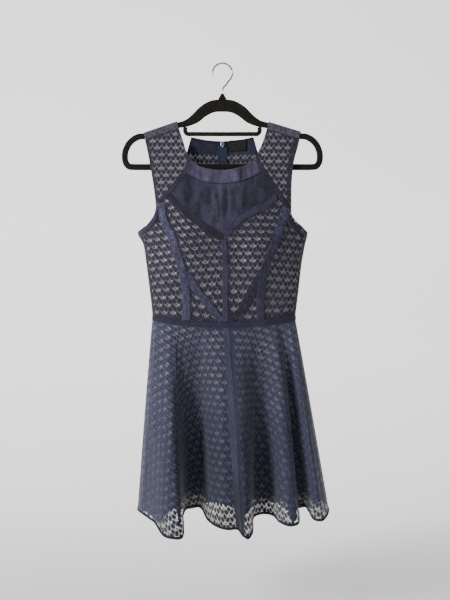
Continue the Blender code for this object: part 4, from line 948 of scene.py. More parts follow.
class Finish:
    """A material in the making. Its nodes come from node(), and its numbers are Values."""

    def __init__(self, name, **constants):
        self.material = bpy.data.materials.new(name)
        self.material.use_nodes = True
        self.tree = self.material.node_tree
        self.shader = self.tree.nodes["Principled BSDF"]
        for key, value in constants.items():
            self.shader.inputs[key.replace("_", " ")].default_value = value

    def node(self, kind, settings=None, inputs=None):
        """Adds a node of a type: its settings first, then the values or links of its sockets."""
        made = self.tree.nodes.new("ShaderNode" + kind)
        for name, value in (settings or {}).items():
            setattr(made, name, value)
        for key, value in (inputs or {}).items():
            self.feed(made.inputs[key], value)
        return made

    def feed(self, socket, value):
        value = value.socket if isinstance(value, Value) else value
        if isinstance(value, bpy.types.NodeSocket):
            self.tree.links.new(value, socket)
        else:
            socket.default_value = value

    def set(self, **links):
        for key, value in links.items():
            self.feed(self.shader.inputs[key.replace("_", " ")], value)

    def axes(self, place):
        """The three numbers of a place."""
        return [Value(self, out) for out in self.node("SeparateXYZ", inputs={0: place}).outputs]

    def map(self, name):
        """The two numbers of one of the cloth's maps, in millimetres."""
        place = self.node("UVMap", {"uv_map": name}).outputs[0]
        return [way * 1000.0 for way in self.axes(place)[:2]]

    def place(self):
        return self.node("TexCoord").outputs["Object"]

    def noise(self, place, scale, detail=2.0, rough=0.5):
        inputs = {"Vector": place, "Scale": scale, "Detail": detail, "Roughness": rough}
        return Value(self, self.node("TexNoise", inputs=inputs).outputs[0])

    def blend(self, share, a, b):
        """A colour between two colours, each one a link or three numbers."""
        a, b = (c if isinstance(c, bpy.types.NodeSocket) else (*c, 1.0) for c in (a, b))
        return self.node("Mix", {"data_type": "RGBA"}, {0: share, 6: a, 7: b}).outputs[2]

    def finished(self, body, rough, height, strength, distance):
        """The material, once its colour, its roughness and the height of its bumps are fed."""
        inputs = {"Height": height, "Strength": strength, "Distance": distance}
        self.set(Base_Color=body, Normal=self.node("Bump", inputs=inputs).outputs[0])
        if rough is not None:
            self.set(Roughness=rough)
        return self.material


def shaded(colour, share):
    return tuple(c * share for c in colour)


def half_plane(x, y, a, b):
    """How far inside the line from a to b a point is, on its left."""
    length = math.hypot(b[0] - a[0], b[1] - a[1])
    nx, ny = -(b[1] - a[1]) / length, (b[0] - a[0]) / length
    return x * nx + y * ny - (a[0] * nx + a[1] * ny)


def motif(x, y, looks):
    """How far inside the lace's solid shapes a point is, and inside the thin oval round the star.

    x and y run from the middle of a star. A leaf hangs on each side below the star, and a
    diamond stands between one star and the next.
    """
    wider, longer = looks.star_apart / STAR_APART, looks.star_rows / STAR_ROWS
    corners = [(a * wider, b * longer) for a, b in LEAF]
    solid = None
    for a, b in zip(corners, corners[1:] + corners[:1]):
        side = half_plane(x, y, a, b)
        solid = side if solid is None else solid.lowest(side)
    aside = abs(x - looks.star_apart / 2)
    diamond = (1.0 - aside / DIAMOND[0] - abs(y + 1.8) / DIAMOND[1]) * 3.1
    dot = 1.0 - (x * x + y * y).maths("SQRT")
    wide, up = x / OVAL[0], (y - 0.3) / OVAL[1]
    oval = 1.0 - (wide * wide + up * up).maths("SQRT")
    return solid.highest(diamond).highest(dot), oval.edge(0.1, 0.3)


def lace(name, looks, colour, net, backing=None, edged=True, hung=False):
    """Lace of leaves, diamonds and stars on a net. A backing is a fine mesh behind the net, in
    the lining's own colour darkened by painted shade.

    Edged lace stays plain along the seams, as far as its own map of edges says. Hung lace is
    the skirt's: below the lining it is closer and its net is painted the cream of lit lining, a
    painted light; it is nearly closed beside the side seams; painted shade darkens it low in the
    middle, and a painted sheen makes it paler at the sides.
    """
    made = Finish(name, Roughness=0.72, Sheen_Weight=0.25, Sheen_Roughness=0.45,
                  Specular_IOR_Level=0.25)
    u, v = made.map("Cloth")
    place = made.place()
    stray = made.noise(place, 60.0) - 0.5
    u, v = u + stray * 0.7, v + stray * 0.5
    solid = oval = None
    for shift in (0.0, 1.0):
        x = (u - shift * looks.star_apart / 2).maths("PINGPONG", looks.star_apart / 2)
        y = (v - shift * looks.star_rows).maths("WRAP", looks.star_rows, -looks.star_rows)
        inside, thin = motif(x, y, looks)
        solid = inside if solid is None else solid.highest(inside)
        oval = thin if oval is None else oval.highest(thin)
    shape = solid.edge(-0.55, 0.45)
    if edged:
        rim, below = made.map("Rim")
        plain = 1.0 - (rim + stray * 9.0).edge(1.0, 6.0)
        shape = shape.highest(plain * 0.9)
    threads = (1.0 - (u + v).wave(1.5) * (u - v).wave(1.5)).edge(0.72, 0.3)
    weave = (u * 0.5 + v).wave(0.9)
    worn = made.noise(place, 9.0, 3.0)
    body = made.blend(worn, shaded(colour, 0.8), shaded(colour, 1.25))
    body = made.blend(weave * 0.3, body, shaded(colour, 1.6))
    strands = shaded(colour, 1.8)
    if hung:
        across, _, height = made.axes(place)
        beside = abs(across).edge(*SKIRT_SIDES)
        shade_low_middle = (1.0 - height.edge(*SKIRT_SHADE_HEIGHT)) * (1.0 - beside)
        # Painted sheen pales the sides, and painted shade darkens the lace low in the middle.
        body = made.blend(beside * 0.3, body, shaded(colour, 2.4))
        body = made.blend(shade_low_middle * 0.35, body, shaded(colour, 0.2))
        bare = below.edge(*BELOW_LINING)
        backed = (1.0 - rim.edge(*BESIDE_SEAM)) * beside
        net = bare * 2.0 + net
        strands = made.blend(backed * 0.9, strands, SEAM_TONE)
        # Painted light: below the lining the strands take the cream of lit lining.
        strands = made.blend(bare * 0.9, strands, LIT_LINING_TONE)
    thin = made.noise(place, 26.0, 2.0).edge(0.5, 0.35)
    steady, patchy = (0.11, 0.09) if hung else (0.04, 0.22)
    cover = (threads * 0.1 + steady + thin * patchy) * (1.0 + oval * 0.3) * net
    if hung:
        cover = cover.highest(backed * 0.92)
    # A backing's tone is the lining's own colour, darkened by painted shade behind the lace.
    if backing is not None:
        cover = threads * 0.1 + net
        fine = made.blend(threads * 0.3 + thin * 0.3, shaded(backing, 0.62), strands)
        strands = made.blend(oval * 0.3, fine, backing)
    made.set(Alpha=shape.highest(cover).within())
    raised = shape * 0.6 + solid.edge(1.0, 1.6) * 0.3 + weave * shape * 0.2
    body = made.blend(shape, strands, body)
    return made.finished(body, 0.82 - weave * 0.2, raised, 0.7, 0.0007)


def plain_cloth(name, colour, wash, low=None, specks=0.4, low_at=-0.40, middle=False):
    """Plain matt cloth of fine slubby threads, faded unevenly along its grain.

    Low is how much of its lightness it keeps below the height low_at: below it the cloth
    darkens, a painted shade. A middle is a painted sheen: the cloth is palest on the dress's
    centre line.
    """
    made = Finish(name, Roughness=0.7, Sheen_Weight=0.25, Sheen_Roughness=0.4,
                  Specular_IOR_Level=0.25)
    u, v = made.map("Cloth")
    place = made.place()
    stray = made.noise(place, 45.0, 3.0) - 0.5
    threads = (u + stray * 1.6).wave(0.8).highest((v + stray * 1.6).wave(0.96))
    along = made.node("CombineXYZ", inputs={0: u * 0.10, 1: v * 0.012})
    streak = made.noise(along.outputs[0], 1.6, 3.0)
    along = made.node("CombineXYZ", inputs={0: u * 0.045, 1: v * 0.014, 2: 3.0})
    fade = made.noise(along.outputs[0], 1.0, 2.0)
    mottle = made.noise(place, 42.0, 4.0, 0.65)
    tint = made.blend(fade.edge(0.5, 0.34), shaded(colour, 0.72), wash)
    tint = made.blend(streak.edge(0.55, 0.4) * 0.4, tint, shaded(wash, 1.25))
    aged = made.blend(mottle.edge(0.5, 0.35) * 0.4, tint, shaded(colour, 0.6))
    speck = made.noise(place, 190.0, 3.0, 0.7)
    aged = made.blend(speck.edge(0.58, 0.2) * specks, aged, shaded(wash, 1.5))
    aged = made.blend((1.0 - speck.edge(0.42, 0.2)) * specks, aged, shaded(colour, 0.5))
    # Painted shade: below low_at the colour darkens towards a shaded copy.
    if low is not None:
        down = 1.0 - made.axes(place)[2].edge(low_at, 0.09)
        aged = made.blend(down * (1.0 - low), aged, shaded(colour, 0.12))
    # Painted sheen: the cloth is palest on the centre line and darker away from it.
    if middle:
        across = abs(made.axes(place)[0] - 0.002)
        aged = made.blend(across.edge(0.034, 0.028) * 0.42, aged, shaded(colour, 0.5))
    aged = made.blend((1.0 - threads) * 0.4, aged, shaded(colour, 0.5))
    raised = threads * 0.5 + mottle * 2.2 + streak * 0.8
    return made.finished(aged, 0.62 + mottle * 0.25, raised, 0.6, 0.0008)


def lining_cloth(name, colour, low=None):
    """Smooth lining with a fine crosswise rib. Low is its painted shade further down the skirt."""
    made = Finish(name, Roughness=0.5, Sheen_Weight=0.1, Specular_IOR_Level=0.4)
    u, v = made.map("Cloth")
    place = made.place()
    rib = v.wave(0.7) * 0.6 + u.wave(0.9) * 0.4
    soft = made.noise(place, 12.0, 3.0)
    body = made.blend(soft, shaded(colour, 0.84), shaded(colour, 1.1))
    # Painted shade: further down the skirt the lining darkens towards its low colour.
    if low is not None:
        down = made.axes(place)[2].edge(-0.70, -0.26)
        body = made.blend(down, body, made.blend(soft, shaded(low, 0.84), shaded(low, 1.1)))
    body = made.blend((1.0 - rib) * 0.18, body, shaded(colour, 0.6))
    return made.finished(body, 0.42 + soft * 0.25, rib * 0.3 + soft * 1.5, 0.4, 0.0006)


def tape(name, colour, pitch):
    """Ribbed woven tape or binding, with herringbone threads."""
    made = Finish(name, Roughness=0.7, Sheen_Weight=0.15, Specular_IOR_Level=0.25)
    u, v = made.map("Cloth")
    place = made.place()
    bone = (u.maths("PINGPONG", 3.0) + v).wave(pitch)
    soft = made.noise(place, 22.0, 3.0)
    body = made.blend(soft, shaded(colour, 0.75), shaded(colour, 1.35))
    body = made.blend((1.0 - bone) * 0.4, body, shaded(colour, 0.45))
    return made.finished(body, 0.6 + soft * 0.3, bone + soft, 0.6, 0.0004)


def velvet(name, colour):
    """Flocked fibre on the hanger, brushed in patches."""
    made = Finish(name, Roughness=0.95, Sheen_Weight=0.35, Sheen_Roughness=0.35,
                  Specular_IOR_Level=0.12, Sheen_Tint=(0.62, 0.58, 0.5, 1.0))
    place = made.place()
    nap = made.noise(place, 90.0, 4.0, 0.6)
    fibre = made.noise(place, 1400.0, 2.0, 0.7)
    body = made.blend(nap.edge(0.5, 0.4), shaded(colour, 0.7), shaded(colour, 1.5))
    body = made.blend(fibre.edge(0.55, 0.5) * 0.4, body, shaded(colour, 2.2))
    return made.finished(body, 0.86 + nap * 0.12, fibre * 0.7 + nap * 0.5, 0.5, 0.0004)


def metal(name, colour, metallic, rough):
    """Plated or enamelled metal with fine rubbing marks."""
    made = Finish(name, Metallic=metallic, Coat_Roughness=0.25)
    place = made.place()
    rub = made.noise(place, 260.0, 5.0, 0.65)
    cloud = made.noise(place, 55.0, 3.0)
    body = made.blend(cloud.edge(0.5, 0.5), shaded(colour, 0.82), shaded(colour, 1.12))
    return made.finished(body, rub * 0.22 + rough, rub, 0.12, 0.0002)


def thread(name, colour):
    """Sewing thread, twisted."""
    made = Finish(name, Roughness=0.5, Sheen_Weight=0.2)
    place = made.place()
    ply = made.noise(place, 900.0, 2.0)
    body = made.blend(ply, shaded(colour, 0.7), shaded(colour, 1.4))
    return made.finished(body, None, ply, 0.5, 0.0002)


def studio(name, colour):
    """The paper sweep behind and below, with a trace of unevenness."""
    made = Finish(name, Roughness=0.9, Specular_IOR_Level=0.1, Emission_Strength=1.1)
    place = made.place()
    soft = made.noise(place, 1.5, 2.0)
    made.set(Base_Color=made.blend(soft, shaded(colour, 0.985), colour))
    behind = made.axes(place)[1].edge(0.9, 1.8)
    made.set(Emission_Color=made.blend(behind, (0.0, 0.0, 0.0), (1.0, 1.0, 1.0)))
    return made.material


def make_finishes():
    """Every material of the dress and its hanger, by name."""
    hues, looks = bpy.context.scene.dress_colours, bpy.context.scene.dress_sizes
    navy, wash, yoke, yoke_wash = hues.cloth, hues.cloth_wash, hues.yoke, hues.yoke_wash
    return {
        "lace": lace("navy_lace", looks, hues.lace, 1.0),
        # Backed lace takes the lining's colour darkened by painted shade; the back's lace takes a
        # darker copy.
        "backed_lace": lace("navy_lace_backed", looks, hues.lace, 0.86, hues.backing),
        "back_lace": lace("navy_lace_back", looks, hues.lace, 0.9, shaded(hues.backing, 0.3)),
        # A darker copy of the lace in painted shade, for the right under-bust band under the bust.
        "painted_shade_lace": lace("navy_lace_dark", looks, shaded(hues.lace, 0.7), 1.0,
                          shaded(hues.haze, 1.1), edged=False),
        "skirt_lace": lace("navy_lace_skirt", looks, hues.skirt_lace, 1.6, hung=True),
        "cloth": plain_cloth("navy_cloth", navy, wash),
        # A darker copy of the navy cloth: painted shade, for the right armhole band.
        "shaded_copy_cloth": plain_cloth("navy_cloth_dark", shaded(navy, 0.5), shaded(wash, 0.6)),
        # Copies of the navy cloth for the princess bands: paler above, a painted light, and darker
        # lower down, a painted shade.
        "painted_light_cloth": plain_cloth("navy_cloth_pale", shaded(navy, 1.5), shaded(wash, 1.7),
                                  low=0.7, specks=0.95),
        "painted_shade_low_cloth": plain_cloth("navy_cloth_fading", shaded(navy, 1.2), shaded(wash, 1.35),
                                    low=0.5, specks=0.95),
        "hazy_cloth": plain_cloth("navy_cloth_hazy", hues.haze, shaded(hues.haze, 1.4), specks=0.9),
        "waist": plain_cloth("navy_cloth_waist", hues.waist, navy),
        # The yoke carries a painted sheen down its middle.
        "yoke": plain_cloth("navy_cloth_yoke", yoke, yoke_wash, specks=0.2, middle=True),
        "neckband": plain_cloth("navy_cloth_neckband", shaded(yoke, 1.6), shaded(yoke_wash, 1.3),
                                specks=0.2),
        "edge": thread("rolled_edge", hues.edge),
        # The wedge darkens near the hem: painted shade, like the skirt lace's low middle.
        "wedge": plain_cloth("navy_cloth_skirt", shaded(hues.band, 0.9), shaded(hues.band, 1.25),
                             low=0.5, low_at=-0.88),
        "worn": plain_cloth("navy_cloth_worn", hues.worn, hues.worn_wash, specks=0.7),
        "yoke_low": plain_cloth("navy_cloth_yoke_dark", shaded(yoke, 0.75), shaded(yoke_wash, 0.38),
                                specks=0.2),
        "lining": lining_cloth("pale_lining", hues.lining),
        "skirt_lining": lining_cloth("pale_lining_skirt", hues.skirt_lining, hues.lining_in_shade),
        "binding": tape("hem_tape", hues.binding, 1.1),
        "zip_tape": tape("woven_zip_tape", hues.zip_tape, 0.8),
        "label": tape("woven_label", hues.label, 0.6),
        "velvet": velvet("hanger_velvet", hues.velvet),
        "steel": metal("polished_steel", hues.steel, 1.0, 0.12),
        "enamel": metal("enamelled_zip", hues.enamel, 0.5, 0.2),
        "thread": thread("navy_thread", hues.thread),
        "sweep": studio("studio_sweep", hues.sweep),
    }


# ---------------------------------------------------------------- meshes and pieces

def flat_area(flat):
    """Area of the cloth that a grid covers when it lies flat."""
    a, b, c, d = flat[:-1, :-1], flat[1:, :-1], flat[1:, 1:], flat[:-1, 1:]
    p, q = c - a, d - b
    return abs(float((p[..., 0] * q[..., 1] - p[..., 1] * q[..., 0]).sum())) / 2


def cut_size(flat):
    """Sides of the smallest rectangle that a piece can be cut from, and its area, in metres."""
    places = flat.reshape(-1, 2)
    best = None
    for degrees in range(0, 90, 3):
        cos, sin = math.cos(math.radians(degrees)), math.sin(math.radians(degrees))
        u = places[:, 0] * cos + places[:, 1] * sin
        v = places[:, 1] * cos - places[:, 0] * sin
        sides = float(np.ptp(u)) * MM, float(np.ptp(v)) * MM
        if best is None or sides[0] * sides[1] < best[0] * best[1]:
            best = sides
    return best, flat_area(flat) * MM * MM


def grid_faces(rows, columns, flip):
    index = np.arange(rows * columns).reshape(rows, columns)
    a, b, c, d = index[:-1, :-1], index[1:, :-1], index[1:, 1:], index[:-1, 1:]
    order = (a, d, c, b) if flip else (a, b, c, d)
    return np.stack(order, axis=-1).reshape(-1, 4)


def mesh_of(name, points, faces, finish, flat=None, rim=None):
    """A smooth mesh of four-sided faces.

    flat gives each point's place on the flat cloth, and rim how far it is inside its edges
    and below the lining.
    """
    mesh = bpy.data.meshes.new(name)
    points = points.reshape(-1, 3) * MM
    mesh.vertices.add(len(points))
    mesh.vertices.foreach_set("co", points.ravel())
    mesh.loops.add(faces.size)
    mesh.loops.foreach_set("vertex_index", faces.ravel().astype(np.int32))
    mesh.polygons.add(len(faces))
    mesh.polygons.foreach_set("loop_start", np.arange(len(faces), dtype=np.int32) * 4)
    mesh.update(calc_edges=True)
    if flat is not None:
        flat = flat.reshape(-1, 2)
        low = flat.min(axis=0)
        spread = float((flat.max(axis=0) - low).max())
        maps = {"Cloth": flat * MM, "OFBake": 0.005 + (flat - low) / spread * 0.99}
        if rim is not None:
            ways = [np.broadcast_to(way, rim[0].shape).ravel() for way in rim]
            maps["Rim"] = np.stack(ways, axis=-1) * MM
        for map_name, places in maps.items():
            layer = mesh.uv_layers.new(name=map_name)
            layer.data.foreach_set("uv", places[faces.ravel()].ravel())
    mesh.validate()
    mesh.shade_smooth()
    mesh.materials.append(FINISHES[finish])
    return mesh


def piece_of(name, mesh, nodes):
    """Links a piece that takes the place of CAD nodes and rides with the dress."""
    piece = bpy.data.objects.new(name, mesh)
    bpy.context.scene.collection.objects.link(piece)
    if nodes:
        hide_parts(*nodes)
    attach(piece, BODY)
    return piece


def inside_edges(points, plain):
    """How far each point of a grid is inside the plain strips along its four edges."""
    def reached(grid):
        steps = np.linalg.norm(np.diff(grid, axis=0), axis=2)
        return np.vstack([np.zeros(steps.shape[1]), np.cumsum(steps, axis=0)])

    down, across = reached(points), reached(points.transpose(1, 0, 2)).T
    top, low, left, right = plain
    return np.minimum.reduce([down - top, down[-1] - down - low,
                              across - left, across[:, -1:] - across - right])


def sew(node, side, points, flat, finish, thick=0.0, rim=None):
    """A piece of cloth that stands for its node. A thickness makes it solid inwards."""
    faces = grid_faces(*points.shape[:2], side == BACK)
    mesh = mesh_of(f"{node}_cloth", points, faces, finish, flat, rim)
    piece = piece_of(f"{node}_cloth", mesh, [node])
    if thick:
        wall = piece.modifiers.new("wall", "SOLIDIFY")
        wall.thickness = thick * MM
        wall.offset = -1.0
    (wide, long), area = cut_size(flat)


def ribbon_flat(points):
    """Cloth coordinates of a strip: its width across, its length down."""
    rows, columns = points.shape[:2]
    down = lengths(points[:, columns // 2])
    wide = np.linalg.norm(np.diff(points, axis=1), axis=2).sum(axis=1).mean()
    return np.stack(np.meshgrid(np.linspace(0, wide, columns), -down), axis=-1)


def refined(grid, rows, columns):
    """A fine smooth grid through a coarse grid of points."""
    down = np.linspace(0, len(grid) - 1, rows + 1)
    across = np.linspace(0, len(grid[0]) - 1, columns + 1)
    middle = [Curve(row).at_number(across) for row in grid]
    lines = [Curve([row[c] for row in middle]).at_number(down) for c in range(columns + 1)]
    return np.stack(lines, axis=1)


# The rings of a stitch: share of the way along it, and shares of its rise and of its radius
BEAD = ((0.0, -0.6, 0.45), (0.2, 0.8, 1.0), (0.8, 0.8, 1.0), (1.0, -0.6, 0.45))
STITCH_RISE = 0.2
STITCH_PITCH = 1.35     # from one stitch to the next, in lengths of a stitch


def beads(starts, ends, normals, radius, rise, sides=4):
    """Points and faces of many short lengths of thread or wire, each arched over its surface."""
    along = ends - starts
    aside = unit(np.cross(along, normals))
    turns = math.tau * np.arange(sides) / sides
    rings = []
    for share, up, wide in BEAD:
        middle = starts + along * share + normals * (up * rise)
        ring = [middle + (normals * math.sin(turn) + aside * math.cos(turn)) * radius * wide
                for turn in turns]
        rings.append(np.stack(ring, axis=1))
    points = np.stack(rings, axis=1)
    base = (np.arange(len(starts)) * len(BEAD) * sides)[:, None]
    faces = []
    for ring in range(len(BEAD) - 1):
        for k in range(sides):
            a, b = ring * sides + k, ring * sides + (k + 1) % sides
            faces.append(base + np.array([[a, b, b + sides, a + sides]]))
    for first in (0, (len(BEAD) - 1) * sides):
        cap = [first + k for k in range(sides)]
        for k in range(1, sides - 2, 2):
            quad = [cap[0], cap[k], cap[k + 1], cap[k + 2]]
            faces.append(base + np.array([quad if first else quad[::-1]]))
    return points.reshape(-1, 3), np.concatenate(faces)


def stitch_row(places, normals, pitch, long):
    """Starts, ends and normals of a row of stitches along a line of points."""
    reached = lengths(places)
    begins = np.arange(0.5, reached[-1] - long, pitch)
    facing = unit(read_at(begins + long / 2, reached, normals))
    return read_at(begins, reached, places), read_at(begins + long, reached, places), facing


def sew_rows(name, rows):
    """One piece that holds rows of stitches, each given as points and normals."""
    sizes = bpy.context.scene.dress_sizes
    long, radius = sizes.stitch_long / MM, sizes.thread_thick / MM / 2
    pitch = long * STITCH_PITCH
    parts = [stitch_row(places, normals, pitch, long) for places, normals in rows]
    starts, ends, normals = (np.concatenate([part[i] for part in parts]) for i in range(3))
    points, faces = beads(starts, ends, normals, radius, STITCH_RISE)
    piece_of(name, mesh_of(name, points, faces, "thread"), [])


# ---------------------------------------------------------------- settings

def number(name, text, default, **limits):
    return bpy.props.FloatProperty(name=name, description=text, default=default, **limits)


def size(*words, **limits):
    return number(*words, unit="LENGTH", **limits)


def colour(name, text, default):
    return bpy.props.FloatVectorProperty(
        name=name, description=text, default=default, subtype="COLOR", min=0.0, max=1.0)


class DressSizes(bpy.types.PropertyGroup):
    grid: size("Cloth grid", "Distance between points of the bodice's cloth", 0.0024, min=0.001)
    skirt_grid: size(
        "Skirt grid", "Distance between points of the skirt's cloth", 0.0034, min=0.002)
    cloth_thick: size("Cloth thickness", "Thickness of the plain cloth", 0.0006, min=0.0002)
    edge_roll: size(
        "Armhole edge", "Diameter of the rolled edge of the armholes", 0.0018, min=0.0005)
    lining_thick: size("Lining thickness", "Thickness of the lining", 0.0004, min=0.0002)
    stitch_long: size("Stitch length", "Length of one stitch", 0.0024, min=0.001)
    thread_thick: size("Thread thickness", "Diameter of the sewing thread", 0.0005, min=0.0001)
    coil_pitch: size(
        "Zip pitch", "Distance from one turn of the zip's coil to the next", 0.0016, min=0.0008)
    star_apart: number(
        "Star spacing", "Millimetres between stars along a row of the lace", STAR_APART)
    star_rows: number(
        "Row spacing", "Millimetres from one row of stars to the next", STAR_ROWS)


class DressColours(bpy.types.PropertyGroup):
    lace: colour("Lace", "Solid shapes of the bodice's lace", tone(43, 39, 55))
    # The lining's own colour darkened by painted shade, as it shows behind the lace
    backing: colour(
        "Lace backing", "Fine mesh behind the lace of the straps and the back",
        tone(176, 168, 178))
    skirt_lace: colour("Skirt lace", "Solid shapes of the skirt's lace", tone(50, 52, 72))
    cloth: colour("Plain cloth", "The bands and straps", tone(56, 55, 78))
    cloth_wash: colour("Worn cloth", "Paler parts of the plain cloth", tone(71, 68, 91))
    waist: colour("Waistband", "The waistband", tone(44, 46, 68))
    yoke: colour("Yoke", "The yoke and the bands along the V", tone(31, 32, 47))
    yoke_wash: colour("Worn yoke", "Paler parts of the yoke", tone(92, 85, 113))
    worn: colour("Shoulder", "The shoulder strips", tone(66, 66, 82))
    worn_wash: colour("Worn shoulder", "Paler parts of the shoulder strips", tone(98, 98, 112))
    edge: colour("Armhole edge", "The rolled edge of the armholes", tone(28, 28, 42))
    haze: colour("Under-bust", "The left under-bust band", tone(62, 60, 80))
    band: colour("Wedge", "The plain wedge of the skirt", tone(66, 67, 90))
    lining: colour("Lining", "The bodice's lining", tone(224, 219, 228))
    skirt_lining: colour("Skirt lining", "The skirt's lining below the waist", tone(228, 222, 232))
    # Painted shade: the darker colour that the skirt's lining takes near its hem
    lining_in_shade: colour("Lower lining", "The skirt's lining near its hem", tone(150, 150, 168))
    binding: colour("Hem tape", "The tape round the hem", tone(27, 28, 40))
    zip_tape: colour("Zip tape", "The tape beside the zip", tone(44, 58, 78))
    label: colour("Label", "The neck label", tone(34, 34, 36))
    velvet: colour("Velvet", "The hanger's flock", tone(30, 28, 24))
    steel: colour("Steel", "The hanger's hook", tone(200, 200, 202))
    enamel: colour("Enamel", "The zip's slider and pull", tone(120, 140, 160))
    thread: colour("Thread", "The sewing thread", tone(44, 46, 76))
    sweep: colour("Sweep", "The paper behind and below", tone(250, 250, 250))


class DressStage(bpy.types.PropertyGroup):
    distance: size("Camera distance", "From the camera to the hanger", 1.6)
    height: size("Camera height", "How far the camera is below the hook", 0.521)
    aside: size("Camera offset", "How far the camera is to the right of the hook", 0.0057)
    lens: number("Lens", "Focal length of the camera", 43.44, unit="CAMERA")
    key: number("Key light", "Power of the main light", 95.0, unit="POWER")
    fill: number("Fill light", "Power of the lights on the right and behind", 4.0, unit="POWER")
    room: number("Room light", "Strength of the light all round", 0.14)
    floor: size("Floor", "How far the floor is below the hook", 1.25)


# ---------------------------------------------------------------- pieces of the dress

class DRESS_OT_lace_panels(bpy.types.Operator):
    """Makes the lace panels of the bodice and the straps"""
    bl_idname = "dress.lace_panels"
    bl_label = "Lace panels"

    def execute(self, context):
        step = context.scene.dress_sizes.grid / MM
        for node, (side, edges, first, tilt) in bodice_edges().items():
            angle, drop = patch(*edges, step, first)
            points = on_bodice(side, angle, drop)
            if node.startswith("strap"):
                flat, finish = np.stack([x_at(angle, drop), -drop], axis=-1), "backed_lace"
            else:
                flat = bodice_flat(side, angle, drop, tilt)
                finish = "back_lace" if side == BACK else "lace"
            rim = inside_edges(points, PLAIN_EDGES.get(node, NO_PLAIN_EDGES))
            sew(node, side, points, flat, finish, rim=(rim, 0.0))
        return {"FINISHED"}


PANEL_FINISHES = {"yoke_front": "yoke", "neckband_front": "neckband"}
PANEL_LIFT, PANEL_CROWN = 0.35, 1.1
YOKE_SINK = 1.2         # below the neckband's seam


class DRESS_OT_plain_panels(bpy.types.Operator):
    """Makes the neckbands, the yoke and the waistbands"""
    bl_idname = "dress.plain_panels"
    bl_label = "Neckband, yoke and waistband"

    def execute(self, context):
        sizes = context.scene.dress_sizes
        for node, (side, edges) in plain_edges().items():
            angle, drop = patch(*edges, sizes.grid / MM)
            rows = np.linspace(0, 1, angle.shape[0])[:, None]
            if node == "yoke_front":
                crown = -YOKE_SINK * np.exp(-((rows * reach(edges[2]) * 0.4) ** 2))
            else:
                crown = PANEL_CROWN * np.sin(math.pi * rows) ** 0.5
            points = on_bodice(side, angle, drop, PANEL_LIFT + crown)
            finish = PANEL_FINISHES.get(node, "waist")
            flat = bodice_flat(side, angle, drop)
            sew(node, side, points, flat, finish, sizes.cloth_thick / MM)
        return {"FINISHED"}


BAND_GRID, BAND_COLUMNS = 2.2, 9


def band_places(line, to_left, to_right):
    """x and drop of a grid that follows a line, and the share across it."""
    curve = Curve(line)
    rows = max(math.ceil(curve.length / BAND_GRID), 4)
    middle = curve.at(np.linspace(0, 1, rows + 1))
    way = unit(np.gradient(middle, axis=0))
    across = np.stack([way[:, 1], -way[:, 0]], axis=-1)
    u = np.linspace(0, 1, BAND_COLUMNS)
    places = middle[:, None] + across[:, None] * mix(-to_left, to_right, u)[None, :, None]
    return places, np.broadcast_to(u, places.shape[:2])


def v_band_places(which):
    """The band along the V lies between the V seam and a lower line."""
    s = SEAMS[which]
    centre = 1.0 if which == "l" else -1.0
    t = np.linspace(0, 1, 80)
    seam = v_seam(which)(t)
    low = run(*s["v_band_low"], (V_POINT[0] + centre * 0.5, 396.0))(t)
    left, right = (low, seam) if which == "l" else (seam, low)
    u = np.linspace(0, 1, BAND_COLUMNS)
    places = mix(left[:, None], right[:, None], u[None, :, None])
    return places, np.broadcast_to(u, places.shape[:2])


# Bands whose cloth isn't the usual one. The princess bands' cloths are paler above, a painted
# light, and darker lower down, a painted shade.
BAND_FINISHES = {
    "v_band_l": "yoke_low",
    "v_band_r": "cloth",
    "raglan_band_l": "yoke",
    "raglan_band_r": "yoke",
    "underbust_band_l": "hazy_cloth",
    # Painted shade: the right under-bust band's darker lace.
    "underbust_band_r": "painted_shade_lace",
    "princess_band_l": "painted_light_cloth",
    "princess_band_r": "painted_shade_low_cloth",
    # Painted shade: the right armhole band's darker cloth.
    "armhole_band_r": "shaded_copy_cloth",
}


def all_bands():
    """x and drop, share across, and lift of every band on the front."""
    found = {}
    for node, line in band_lines().items():
        to_left, to_right, lift = BAND_SIZES[node]
        found[node] = (*band_places(line, to_left, to_right), lift)
    for which in SIDES:
        found[f"v_band_{which}"] = (*v_band_places(which), V_BAND_LIFT)
    return found


BAND_STRAY, BAND_FULL = 0.55, 0.5   # how far a band's edges wander, and its middle stands out


def band_points(places, u, lift):
    """Points of a band. Its edges are sewn down and it is a little full between them."""
    x, drop = places[..., 0], places[..., 1]
    aside = unit(np.gradient(places, axis=1))
    stray = BAND_STRAY * uneven(x / 7.0, drop / 6.0, 3.0 + lift) * (2 * u - 1)
    x, drop = x + aside[..., 0] * stray, drop + aside[..., 1] * stray
    full = (1 - (2 * u - 1) ** 4) * BAND_FULL
    fine, broad = uneven(x / 2.6, drop / 2.9, lift), uneven(x / 6.0, drop / 7.5, 4.0 + lift)
    return at_places(FRONT, x, drop, lift + full + (0.3 * fine + 0.35 * broad))


class DRESS_OT_bands(bpy.types.Operator):
    """Makes the bands sewn over the seams of the front"""
    bl_idname = "dress.bands"
    bl_label = "Bands"

    def execute(self, context):
        thick = context.scene.dress_sizes.cloth_thick / MM
        for node, (places, u, lift) in all_bands().items():
            points = band_points(places, u, lift)
            finish = BAND_FINISHES.get(node, "cloth")
            sew(node, FRONT, points, ribbon_flat(points), finish, thick)
        return {"FINISHED"}


ROLL_SIDES = 8
NECK_ROLL, NECK_ROLL_LIFT = 0.7, 0.2    # the roll below the neckband: its share of the full size


def roll(name, middle, share=1.0):
    """A thin roll of cloth along a line of points, at a share of the full size."""
    radius = bpy.context.scene.dress_sizes.edge_roll / MM / 2 * share
    close_tube(name, [], round_rings(middle, radius, ROLL_SIDES), "edge")


